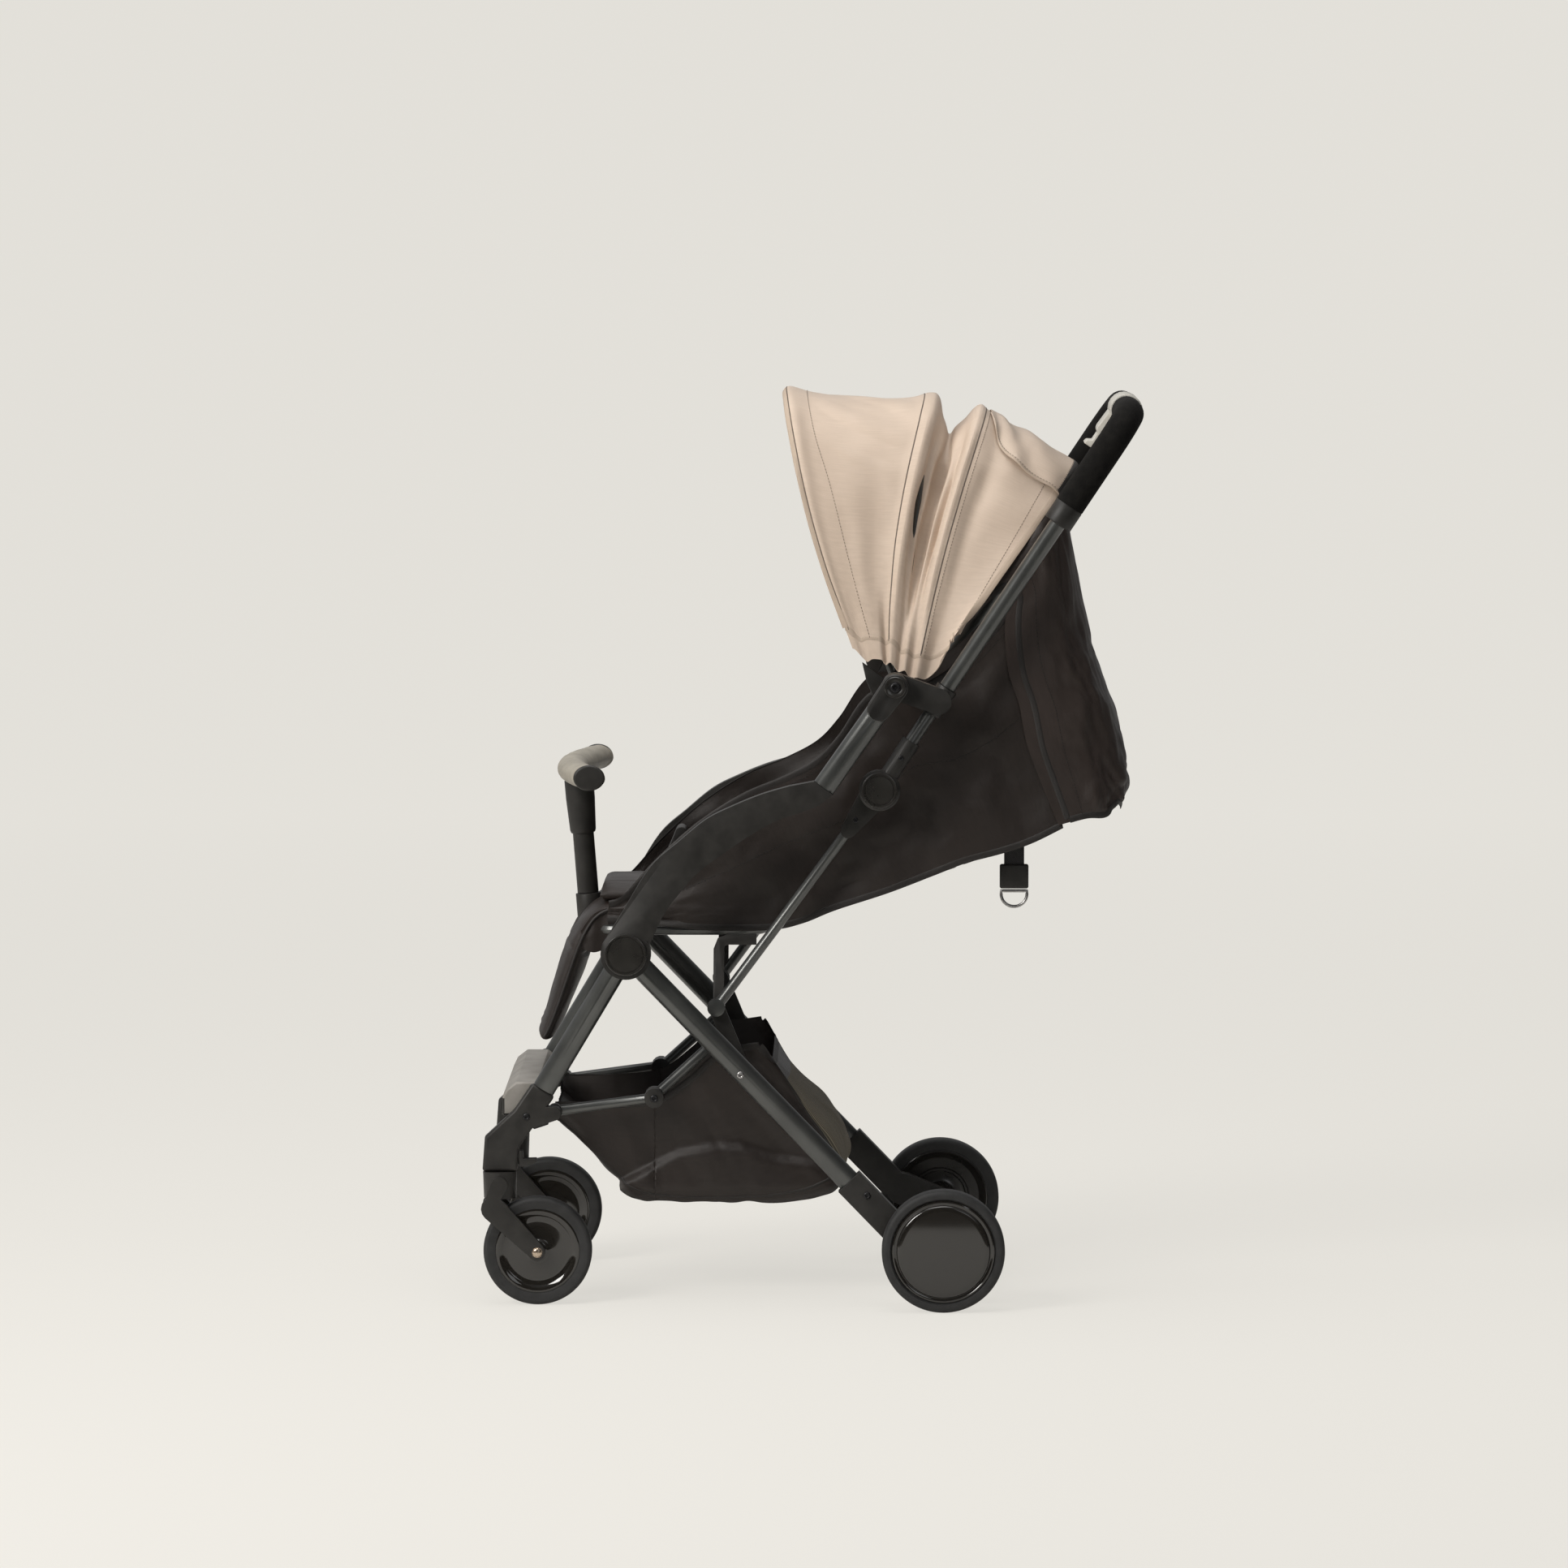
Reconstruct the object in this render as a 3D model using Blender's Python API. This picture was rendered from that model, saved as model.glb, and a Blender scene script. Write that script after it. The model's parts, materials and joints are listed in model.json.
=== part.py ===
"""Folding cabin stroller, built from its separate pieces.

Metres, +Z up. The stroller faces -Y, its left side is +X. The origin is on the floor, under the
middle of the object's box. Side-view points are (y, z).
"""
import math
from math import cos, pi, radians, sin

import bmesh
import bpy
from mathutils import Matrix, Vector

# Driving sizes: wheels and their places
REAR_AXLE = (0.1490, 0.0700)
WHEELBASE = 0.4630
REAR_WHEEL_R = 0.0700
REAR_WHEEL_WIDTH = 0.0290
FRONT_WHEEL_R = 0.0620
FRONT_WHEEL_WIDTH = 0.0240
WHEEL_SIDES = 24
CASTER_TRAIL = 0.0430

# Driving sizes: pivots of the folding frame, in side view
HUB = (-0.2116, 0.4064)
TOP_HUB = (0.0936, 0.7104)
KNEE = (0.0761, 0.5913)
STRUT_FOOT = (-0.1101, 0.3400)
LINK_FOOT = (-0.0820, 0.2670)
BASKET_PIVOT = (-0.2947, 0.2198)
BASKET_KNEE = (-0.1812, 0.2352)
BASKET_REAR = (-0.1124, 0.2977)
HANDLE_TOP = (0.3590, 1.0165)
HANDLE_SLOPE = radians(56.3)

# Driving sizes: the frame's layers across the width, from the rail inwards
RAIL_OUTER_X = 0.2100
LAYER = 0.0180
LAYER_GAP = 0.0005
TOUCH = 0.0003
RAIL_X = RAIL_OUTER_X - LAYER / 2
REAR_LEG_X = RAIL_X - LAYER - LAYER_GAP
FRONT_LEG_X = REAR_LEG_X - LAYER - LAYER_GAP
SEAT_FRAME_END_X = FRONT_LEG_X - LAYER / 2 - LAYER_GAP
HANDLE_X = 0.1720
HANDLE_TUBE_R = 0.0095
GRIP_R = 0.0170
STRUT_R = 0.0060
STRUT_X = 0.1535
LINK_THICK = 0.0080
KNEE_THICK = 0.0210
LEG_WIDTH = 0.0260
SEAT_HALF = 0.1262
PANEL_THICK = 0.0025
PANEL_GAP = 0.00055
PANEL_X = SEAT_HALF + PANEL_GAP + PANEL_THICK / 2
CLOTH = 0.0026
CANOPY_HALF = 0.1420
HOOP_R = 0.0040
CANOPY_PIN_R = 0.0085

# The canopy's hoops from the front: slope, reach, half width at the pin, inset from the cloth
HOOPS = (("front", radians(109.9), 0.3538, 0.1360, 0.0060),
         ("middle", radians(82.7), 0.3287, 0.1275, 0.0130),
         ("rear", radians(71.6), 0.3260, 0.1190, 0.0130))
HOOP_SQUARENESS = 2.9
SWIVEL_Y = REAR_AXLE[0] - WHEELBASE - CASTER_TRAIL
FRONT_AXLE = (REAR_AXLE[0] - WHEELBASE, FRONT_WHEEL_R)
FRONT_LEG_END = (SWIVEL_Y + 0.0500, 0.2470)
CASTER_SEAT_Z = 0.1530
REAR_WHEEL_INNER_X = 0.2050

# Driving sizes: the seat frame's loop, which carries the seat, the backrest and the bumper
SEAT_FRAME_R = 0.0060
SEAT_FRAME_SIDE_X = 0.1195
SEAT_FRONT_BAR = (-0.2450, 0.4255)
SEAT_REAR_BAR = (-0.0560, 0.4255)
POST_FOOT = (-0.2615, 0.4560)
POST_TOP = (-0.2700, 0.5630)
SPIGOT_R = 0.0080
SPIGOT_LONG = 0.0220
POST_SOCKET_R = 0.0145

for old in list(bpy.data.objects):
    bpy.data.objects.remove(old)

scene = bpy.context.scene
pivots = {}


def material(name, color, roughness, metallic=0.0):
    mat = bpy.data.materials.new(name)
    mat.use_nodes = True
    shader = mat.node_tree.nodes["Principled BSDF"]
    shader.inputs["Base Color"].default_value = (*color, 1.0)
    shader.inputs["Roughness"].default_value = roughness
    shader.inputs["Metallic"].default_value = metallic
    return mat


GUNMETAL = material("satin_gunmetal", (0.060, 0.066, 0.070), 0.38, 0.85)
PLASTIC = material("dark_plastic", (0.020, 0.020, 0.021), 0.45)
TYRE = material("tyre", (0.016, 0.016, 0.016), 0.62)
FOAM = material("grip_foam", (0.012, 0.011, 0.010), 0.90)
GREY = material("light_grey_plastic", (0.52, 0.51, 0.47), 0.45)
CHARCOAL = material("charcoal_fabric", (0.042, 0.034, 0.032), 0.88)
BEIGE = material("beige_fabric", (0.60, 0.50, 0.42), 0.85)
WEBBING = material("webbing", (0.022, 0.021, 0.021), 0.80)
GREIGE = material("greige_leatherette", (0.21, 0.19, 0.17), 0.55)
STEEL = material("steel_wire", (0.45, 0.45, 0.45), 0.30, 1.0)


def pivot(name, side, parent=None, x=0.0):
    """An empty on a joint's axis; the pieces of one moving body are parented to it."""
    empty = bpy.data.objects.new(f"axis_{name}", None)
    scene.collection.objects.link(empty)
    world = Vector((x, side[0], side[1]))
    if parent:
        empty.parent = pivots[parent][0]
        empty.location = world - pivots[parent][1]
    else:
        empty.location = world
    pivots[name] = (empty, world)


def ride(obj, name):
    empty, world = pivots[name]
    obj.parent = empty
    obj.location = obj.location - world


def make(name, bm, mat, body, smooth=35.0):
    """One closed mesh object, faces pointing out, riding on its body's empty."""
    bmesh.ops.remove_doubles(bm, verts=bm.verts, dist=0.00002)
    bmesh.ops.recalc_face_normals(bm, faces=bm.faces)
    mesh = bpy.data.meshes.new(name)
    bm.to_mesh(mesh)
    bm.free()
    mesh.shade_smooth()
    mesh.set_sharp_from_angle(angle=radians(smooth))
    mesh.materials.append(mat)
    obj = bpy.data.objects.new(name, mesh)
    scene.collection.objects.link(obj)
    if body:
        ride(obj, body)
    return obj


def guide(obj):
    """Marks a shape that only cuts or adds to another."""
    obj.hide_render = True
    obj.display_type = "WIRE"
    return obj


def combine(target, others, operation="UNION"):
    for other in others:
        guide(other)
        modifier = target.modifiers.new(other.name, "BOOLEAN")
        modifier.operation = operation
        modifier.solver = "EXACT"
        modifier.object = other
    return target


def extruded(outline, x0, x1):
    """A side-view outline carried across from x0 to x1."""
    bm = bmesh.new()
    corners = [bm.verts.new((x0, y, z)) for y, z in outline]
    face = bm.faces.new(corners)
    grown = bmesh.ops.extrude_face_region(bm, geom=[face])
    moved = [part for part in grown["geom"] if isinstance(part, bmesh.types.BMVert)]
    bmesh.ops.translate(bm, verts=moved, vec=(x1 - x0, 0, 0))
    return bm


def plate(name, outline, x0, x1, mat, body, edge=0.0):
    bm = extruded(outline, x0, x1)
    obj = make(name, bm, mat, body)
    if edge:
        bevel = obj.modifiers.new("edge", "BEVEL")
        bevel.width = edge
        bevel.segments = 1
        bevel.limit_method = "ANGLE"
        bevel.angle_limit = radians(50)
    return obj


def along(start, end, distance):
    """The point a distance from start towards end."""
    step = Vector(end) - Vector(start)
    spot = Vector(start) + step.normalized() * distance
    return (spot.x, spot.y)


def polar(centre, angle, distance):
    return (centre[0] + distance * cos(angle), centre[1] + distance * sin(angle))


def angle_of(start, end):
    return math.atan2(end[1] - start[1], end[0] - start[0])


def length_of(start, end):
    return math.hypot(end[0] - start[0], end[1] - start[1])


def arc(centre, radius, first, last, count):
    steps = range(count + 1)
    return [polar(centre, first + (last - first) * i / count, radius) for i in steps]


def link_outline(a, ra, b, rb, count=8):
    """Outline of a flat link: a round end at a and another at b, joined by tangents."""
    way = angle_of(a, b)
    lean = math.acos(max(-1.0, min(1.0, (ra - rb) / length_of(a, b))))
    far = arc(b, rb, way - lean, way + lean, count)
    near = arc(a, ra, way + lean, way - lean + 2 * pi, count)
    return far + near


def prism(start, end, width, depth, x, sides=16):
    """A straight oval tube, drawn as a solid, between two side-view points."""
    bm = bmesh.new()
    bmesh.ops.create_cone(
        bm, cap_ends=True, segments=sides, radius1=0.5, radius2=0.5, depth=length_of(start, end)
    )
    middle = ((start[0] + end[0]) / 2, (start[1] + end[1]) / 2)
    scale = Matrix.Diagonal((depth, width, 1.0, 1.0))
    turn = Matrix.Rotation(angle_of(start, end) - pi / 2, 4, "X")
    place = Matrix.Translation((x, middle[0], middle[1]))
    bmesh.ops.transform(bm, matrix=place @ turn @ scale, verts=bm.verts)
    return bm


def turned(profile, centre, sides=20):
    """A round piece about an axis along X; the profile is (x, radius), its ends are flat."""
    bm = bmesh.new()
    rings = []
    for x, radius in profile:
        corner = radius / cos(pi / sides)
        turns = [2 * pi * (i + 0.5) / sides for i in range(sides)]
        rings.append([bm.verts.new((x, *polar(centre, turn, corner))) for turn in turns])
    for one, two in zip(rings, rings[1:]):
        for i in range(sides):
            j = (i + 1) % sides
            bm.faces.new((one[i], one[j], two[j], two[i]))
    bm.faces.new(rings[0])
    bm.faces.new(rings[-1])
    return bm


def wire(name, points, radius, mat, body, cyclic=False, rings=2):
    """A round tube or wire along points."""
    curve = bpy.data.curves.new(name, "CURVE")
    curve.dimensions = "3D"
    spline = curve.splines.new("POLY")
    spline.points.add(len(points) - 1)
    for spot, point in zip(spline.points, points):
        spot.co = (*point, 1.0)
    spline.use_cyclic_u = cyclic
    curve.bevel_depth = radius
    curve.bevel_resolution = rings
    curve.use_fill_caps = not cyclic
    curve.materials.append(mat)
    obj = bpy.data.objects.new(name, curve)
    scene.collection.objects.link(obj)
    if body:
        ride(obj, body)
    return obj


def mesh_copy(curve_object, name, body):
    """The same shape as a mesh, which another shape can be joined to."""
    mesh = bpy.data.meshes.new_from_object(curve_object)
    bpy.data.objects.remove(curve_object)
    obj = bpy.data.objects.new(name, mesh)
    scene.collection.objects.link(obj)
    ride(obj, body)
    return obj


def close_between(bm, upper, lower, columns, rows):
    """Faces over and under two grids of points, and a wall round their edges."""
    def at(i, j):
        return i * (rows + 1) + j

    for i in range(columns):
        for j in range(rows):
            a, b, c, d = at(i, j), at(i + 1, j), at(i + 1, j + 1), at(i, j + 1)
            bm.faces.new([upper[k] for k in (a, b, c, d)])
            bm.faces.new([lower[k] for k in (d, c, b, a)])
    rim = [at(i, 0) for i in range(columns)]
    rim += [at(columns, j) for j in range(rows)]
    rim += [at(i, rows) for i in range(columns, 0, -1)]
    rim += [at(0, j) for j in range(rows, 0, -1)]
    for a, b in zip(rim, rim[1:] + rim[:1]):
        bm.faces.new((lower[a], lower[b], upper[b], upper[a]))


def sheet(name, surface, columns, rows, thick, mat, body):
    """A closed cloth or pad: surface(u, v) is its middle, thick a thickness or thick(u, v)."""
    height = thick if callable(thick) else (lambda u, v: thick)
    delta = 0.002
    bm = bmesh.new()
    upper = []
    lower = []
    for i in range(columns + 1):
        for j in range(rows + 1):
            u, v = i / columns, j / rows
            du = surface(min(u + delta, 1), v) - surface(max(u - delta, 0), v)
            dv = surface(u, min(v + delta, 1)) - surface(u, max(v - delta, 0))
            normal = du.cross(dv).normalized() * height(u, v) / 2
            upper.append(bm.verts.new(surface(u, v) + normal))
            lower.append(bm.verts.new(surface(u, v) - normal))
    close_between(bm, upper, lower, columns, rows)
    return make(name, bm, mat, body, smooth=60)


def flat_pad(name, surface, height, columns, rows, up, mat, body):
    """A pad with a flat underside: both faces are moved from its middle along one direction."""
    lift = Vector(up)
    bm = bmesh.new()
    upper = []
    lower = []
    for i in range(columns + 1):
        for j in range(rows + 1):
            u, v = i / columns, j / rows
            middle = surface(u, v)
            upper.append(bm.verts.new(middle + lift * height(u, v) / 2))
            lower.append(bm.verts.new(middle - lift * height(u, v) / 2))
    close_between(bm, upper, lower, columns, rows)
    return make(name, bm, mat, body, smooth=60)


def curve_through(points, t):
    """A smooth curve through side-view points, t from 0 to 1 (Catmull-Rom)."""
    spans = len(points) - 1
    k = min(int(t * spans), spans - 1)
    f = t * spans - k
    p0, p1 = points[max(k - 1, 0)], points[k]
    p2, p3 = points[k + 1], points[min(k + 2, spans)]
    out = []
    for a, b, c, d in zip(p0, p1, p2, p3):
        bend = (2 * a - 5 * b + 4 * c - d) * f * f + (3 * b - a - 3 * c + d) * f**3
        out.append(0.5 * (2 * b + (c - a) * f + bend))
    return tuple(out)


def straight_through(points, t):
    """The point at t from 0 to 1 along a polyline whose spans take equal shares."""
    spans = len(points) - 1
    k = min(int(t * spans), spans - 1)
    f = t * spans - k
    return tuple(a + (b - a) * f for a, b in zip(points[k], points[k + 1]))


def relative(origin, steps):
    return [(origin[0] + y, origin[1] + z) for y, z in steps]


# The bodies: an empty on each joint's axis
pivot("frame", HUB)
pivot("rear_frame", HUB, "frame")
pivot("front_frame", HUB, "frame")
pivot("handle", TOP_HUB, "frame")
pivot("lower_links", LINK_FOOT, "rear_frame")
pivot("struts", STRUT_FOOT, "lower_links")
pivot("basket_front", BASKET_PIVOT, "front_frame")
pivot("basket_rear", BASKET_KNEE, "basket_front")
pivot("backrest", SEAT_REAR_BAR, "frame")
pivot("canopy_rear", TOP_HUB, "frame")
pivot("canopy_middle", TOP_HUB, "canopy_rear")
pivot("canopy_front", TOP_HUB, "canopy_middle")

SIDES = (("left", 1), ("right", -1))
LEG_DIRECTION = angle_of(HUB, FRONT_LEG_END)
REAR_DIRECTION = angle_of(HUB, (0.0534, 0.1320))


# Armrests: a curved moulding from the hub up to the straight rail
RAIL_BEND_END = (0.0128, 0.5962)
RAIL_TUBE_END = (0.0774, 0.6877)
RAIL_UPPER = relative(
    HUB,
    [(-0.0265, 0.0115), (-0.0184, 0.0245), (-0.0036, 0.0486), (0.0278, 0.0995), (0.0596, 0.1282),
     (0.0914, 0.1542), (0.1227, 0.1699), (0.1549, 0.1829), (0.1862, 0.1921)],
)
RAIL_LOWER = relative(
    HUB,
    [(0.2184, 0.1700), (0.2023, 0.1635), (0.1706, 0.1524), (0.1393, 0.1348),
     (0.1070, 0.1126), (0.0821, 0.0936), (0.0595, 0.0681), (0.0434, 0.0458), (0.0280, 0.0134)],
)
HUB_BOSS_R = 0.0286
HUB_CAP_R = 0.0240
HUB_CAP_HIGH = 0.0050
RAIL_TUBE_WIDE = 0.0262


def build_rail(side, s):
    inner, outer = s * (RAIL_X - LAYER / 2), s * (RAIL_X + LAYER / 2)
    boss = arc(HUB, HUB_BOSS_R, radians(145), radians(395), 16)
    rise = angle_of(RAIL_BEND_END, RAIL_TUBE_END)
    seam = [polar(RAIL_BEND_END, rise - pi / 2, RAIL_TUBE_WIDE / 2),
            polar(RAIL_BEND_END, rise + pi / 2, RAIL_TUBE_WIDE / 2)]
    plate(f"armrest_{side}", boss + RAIL_LOWER[::-1] + seam + RAIL_UPPER[::-1], inner, outer,
          PLASTIC, "frame", 0.0022)
    tube_start = along(RAIL_BEND_END, RAIL_TUBE_END, TOUCH + 0.0002)
    tube = make(f"upper_rail_{side}", prism(tube_start, RAIL_TUBE_END, RAIL_TUBE_WIDE, LAYER,
                s * RAIL_X), GUNMETAL, "frame")
    cap_start = along(RAIL_TUBE_END, TOP_HUB, -0.004)
    cap = plate(f"rail_end_{side}_shape", link_outline(cap_start, 0.0135, TOP_HUB, 0.0152),
                inner, outer, PLASTIC, "frame", 0.0015)
    combine(tube, [cap])
    cap_top = s * (RAIL_X + LAYER / 2 + HUB_CAP_HIGH)
    profile = [(outer + s * TOUCH, HUB_CAP_R), (cap_top - s * 0.0015, HUB_CAP_R),
               (cap_top, HUB_CAP_R - 0.0020)]
    make(f"hub_cap_{side}", turned(profile, HUB, 24), PLASTIC, "frame")


for side, s in SIDES:
    build_rail(side, s)


# Seat frame: a tube loop under the seat on the hub's axle, with the bumper's socket in front


def build_seat_frame():
    x = SEAT_FRAME_SIDE_X
    corner = 0.022
    front, rear, height = SEAT_FRONT_BAR[0], SEAT_REAR_BAR[0], SEAT_REAR_BAR[1]
    loop = []
    for cx, cy, first in ((x - corner, rear - corner, 0), (-x + corner, rear - corner, 90),
                          (-x + corner, front + corner, 180), (x - corner, front + corner, 270)):
        for i in range(5):
            turn = radians(first + 90 * i / 4)
            loop.append((cx + corner * cos(turn), cy + corner * sin(turn), height))
    axle = turned([(-SEAT_FRAME_END_X, 0.0050), (SEAT_FRAME_END_X, 0.0050)], HUB, 12)
    frame = make("seat_frame", axle, GUNMETAL, "frame")
    tube = wire("seat_loop_curve", loop, SEAT_FRAME_R, GUNMETAL, None, cyclic=True)
    shapes = [mesh_copy(tube, "seat_loop_shape", "frame")]
    for side, s in SIDES:
        lug = link_outline(HUB, 0.0090, (HUB[0], height), SEAT_FRAME_R)
        shapes.append(plate(f"seat_lug_{side}_shape", lug, s * (x - 0.0045), s * (x + 0.0045),
                            GUNMETAL, "frame"))
    socket_top = along(POST_FOOT, POST_TOP, -TOUCH)
    socket_low = along(POST_FOOT, POST_TOP, -(POST_FOOT[1] - SEAT_FRONT_BAR[1]) - 0.004)
    shapes.append(make("post_socket_shape", prism(socket_low, socket_top, 2 * POST_SOCKET_R,
                       2 * POST_SOCKET_R, 0.0, 18), PLASTIC, "frame"))
    combine(frame, shapes)
    bore_low = along(POST_FOOT, POST_TOP, -SPIGOT_LONG - TOUCH)
    bore_top = along(POST_FOOT, POST_TOP, 0.0100)
    bore_wide = 2 * (SPIGOT_R + TOUCH)
    bore = make("post_bore", prism(bore_low, bore_top, bore_wide, bore_wide, 0.0, 14), PLASTIC, "frame")
    combine(frame, [bore], "DIFFERENCE")


build_seat_frame()


# Rear legs, brackets, axle, wheels and brake pedal
REAR_SOCKET_REACH = 0.3640
BRACKET_NECK_REACH = 0.4420
ARM_PAST_NECK = 0.0085
ARM_OFF_LINE = 0.0037
BRACKET_ARM = polar(polar(HUB, REAR_DIRECTION, BRACKET_NECK_REACH + ARM_PAST_NECK),
                    REAR_DIRECTION + pi / 2, ARM_OFF_LINE)
REAR_AXLE_R = 0.0055
LEG_EYE_R = 0.0150


def build_rear_leg(side, s):
    inner, outer = s * (REAR_LEG_X - LAYER / 2), s * (REAR_LEG_X + LAYER / 2)
    leg_end = polar(HUB, REAR_DIRECTION, REAR_SOCKET_REACH)
    leg = make(f"rear_leg_{side}", prism(HUB, leg_end, LEG_WIDTH, LAYER, s * REAR_LEG_X),
               GUNMETAL, "rear_frame")
    eye = make(f"rear_eye_{side}_shape", turned([(inner, LEG_EYE_R), (outer, LEG_EYE_R)], HUB),
               GUNMETAL, "rear_frame")
    combine(leg, [eye])
    mouth = polar(HUB, REAR_DIRECTION, REAR_SOCKET_REACH + TOUCH)
    neck = polar(HUB, REAR_DIRECTION, BRACKET_NECK_REACH)
    half = 0.0165
    socket = [polar(mouth, REAR_DIRECTION + pi / 2, half), polar(mouth, REAR_DIRECTION - pi / 2, half),
              polar(neck, REAR_DIRECTION - pi / 2, half), polar(neck, REAR_DIRECTION + pi / 2, half)]
    bracket = plate(f"rear_bracket_{side}", socket, inner, outer, PLASTIC, "rear_frame")
    arm = plate(f"bracket_arm_{side}_shape", link_outline(BRACKET_ARM, 0.0190, REAR_AXLE, 0.0150),
                inner, outer, PLASTIC, "rear_frame")
    face = s * (REAR_WHEEL_INNER_X - LAYER_GAP)
    boss = make(f"axle_boss_{side}_shape",
                turned([(s * REAR_LEG_X, 0.0130), (face, 0.0110)], REAR_AXLE), PLASTIC, "rear_frame")
    combine(bracket, [arm, boss])


def build_rear_wheel(side, s):
    inner = REAR_WHEEL_INNER_X
    w, r = REAR_WHEEL_WIDTH, REAR_WHEEL_R
    profile = [(0, 0.014), (0.003, 0.016), (0.003, 0.018), (0.014, 0.020), (0.014, r - 0.020),
               (0.002, r - 0.014), (0.001, r - 0.004), (0.005, r), (w - 0.006, r),
               (w - 0.001, r - 0.004), (w - 0.001, r - 0.009), (w - 0.004, r - 0.011),
               (w - 0.003, r - 0.016), (w, r - 0.018)]
    pivot(f"rear_wheel_{side}", REAR_AXLE, "rear_frame", s * (inner + w / 2))
    make(f"rear_wheel_{side}", turned([(s * (inner + x), q) for x, q in profile], REAR_AXLE,
         WHEEL_SIDES), TYRE, f"rear_wheel_{side}")


for side, s in SIDES:
    build_rear_leg(side, s)
    build_rear_wheel(side, s)

AXLE_END_X = REAR_LEG_X - LAYER / 2 - TOUCH
make("rear_axle", turned([(-AXLE_END_X, REAR_AXLE_R), (AXLE_END_X, REAR_AXLE_R)], REAR_AXLE, 12),
     GUNMETAL, "rear_frame")

# The brake pedal clips over the axle's left end, inside the bracket
PEDAL_WIDTH = 0.0320
PEDAL_OUTER_X = AXLE_END_X - 0.004
PEDAL_TIP = (REAR_AXLE[0] + 0.0560, REAR_AXLE[1] + 0.0120)


def build_pedal():
    pivot("brake_pedal", REAR_AXLE, "rear_frame", PEDAL_OUTER_X)
    inner = PEDAL_OUTER_X - PEDAL_WIDTH
    pedal = plate("brake_pedal", link_outline(REAR_AXLE, 0.0120, PEDAL_TIP, 0.0045), inner,
                  PEDAL_OUTER_X, PLASTIC, "brake_pedal")
    bore = make("pedal_bore", turned([(inner - 0.01, REAR_AXLE_R + TOUCH),
                (PEDAL_OUTER_X + 0.01, REAR_AXLE_R + TOUCH)], REAR_AXLE, 12), PLASTIC, "brake_pedal")
    combine(pedal, [bore], "DIFFERENCE")


build_pedal()


# Front legs, caster sockets, footrest, forks, swivel locks and wheels
FRONT_SOCKET_REACH = length_of(HUB, FRONT_LEG_END)
FOOTREST_HALF = FRONT_LEG_X - LAYER / 2 - TOUCH
FOOTREST_OUTLINE = [(-0.3549, 0.2357), (-0.3505, 0.2450), (-0.3389, 0.2540), (-0.3143, 0.2540),
                    (-0.3060, 0.2470), (-0.3160, 0.2290), (-0.3220, 0.2160), (-0.3549, 0.2150)]
FORK_ARM = 0.0070
FORK_GAP = 0.0035
SPINDLE_R = 0.0150
SWIVEL_HIGH = 0.0300
FORK_SHOULDER = (SWIVEL_Y - 0.0070, 0.1120)
FORK_SHOULDER_R = 0.0140
FORK_CROWN = (SWIVEL_Y - 0.0070, 0.1240)


def build_front_leg(side, s):
    inner, outer = s * (FRONT_LEG_X - LAYER / 2), s * (FRONT_LEG_X + LAYER / 2)
    leg_end = polar(HUB, LEG_DIRECTION, FRONT_SOCKET_REACH)
    leg = make(f"front_leg_{side}", prism(HUB, leg_end, LEG_WIDTH, LAYER, s * FRONT_LEG_X),
               GUNMETAL, "front_frame")
    eye = make(f"front_eye_{side}_shape", turned([(inner, LEG_EYE_R), (outer, LEG_EYE_R)], HUB),
               GUNMETAL, "front_frame")
    combine(leg, [eye])
    mouth = polar(HUB, LEG_DIRECTION, FRONT_SOCKET_REACH + TOUCH)
    half = 0.0150
    outline = [polar(mouth, LEG_DIRECTION + pi / 2, half), polar(mouth, LEG_DIRECTION - pi / 2, half),
               (SWIVEL_Y + 0.0165, 0.2240), (SWIVEL_Y - 0.0170, 0.1930),
               (SWIVEL_Y - 0.0200, CASTER_SEAT_Z), (SWIVEL_Y + 0.0200, CASTER_SEAT_Z),
               (SWIVEL_Y + 0.0215, 0.1800)]
    socket = plate(f"caster_socket_{side}", outline, inner, outer, PLASTIC, "front_frame", 0.0025)
    lug = link_outline(BASKET_PIVOT, 0.0080, (SWIVEL_Y + 0.0350, 0.2150), 0.0120)
    combine(socket, [plate(f"basket_lug_{side}_shape", lug, inner, outer, PLASTIC, "front_frame")])


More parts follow.
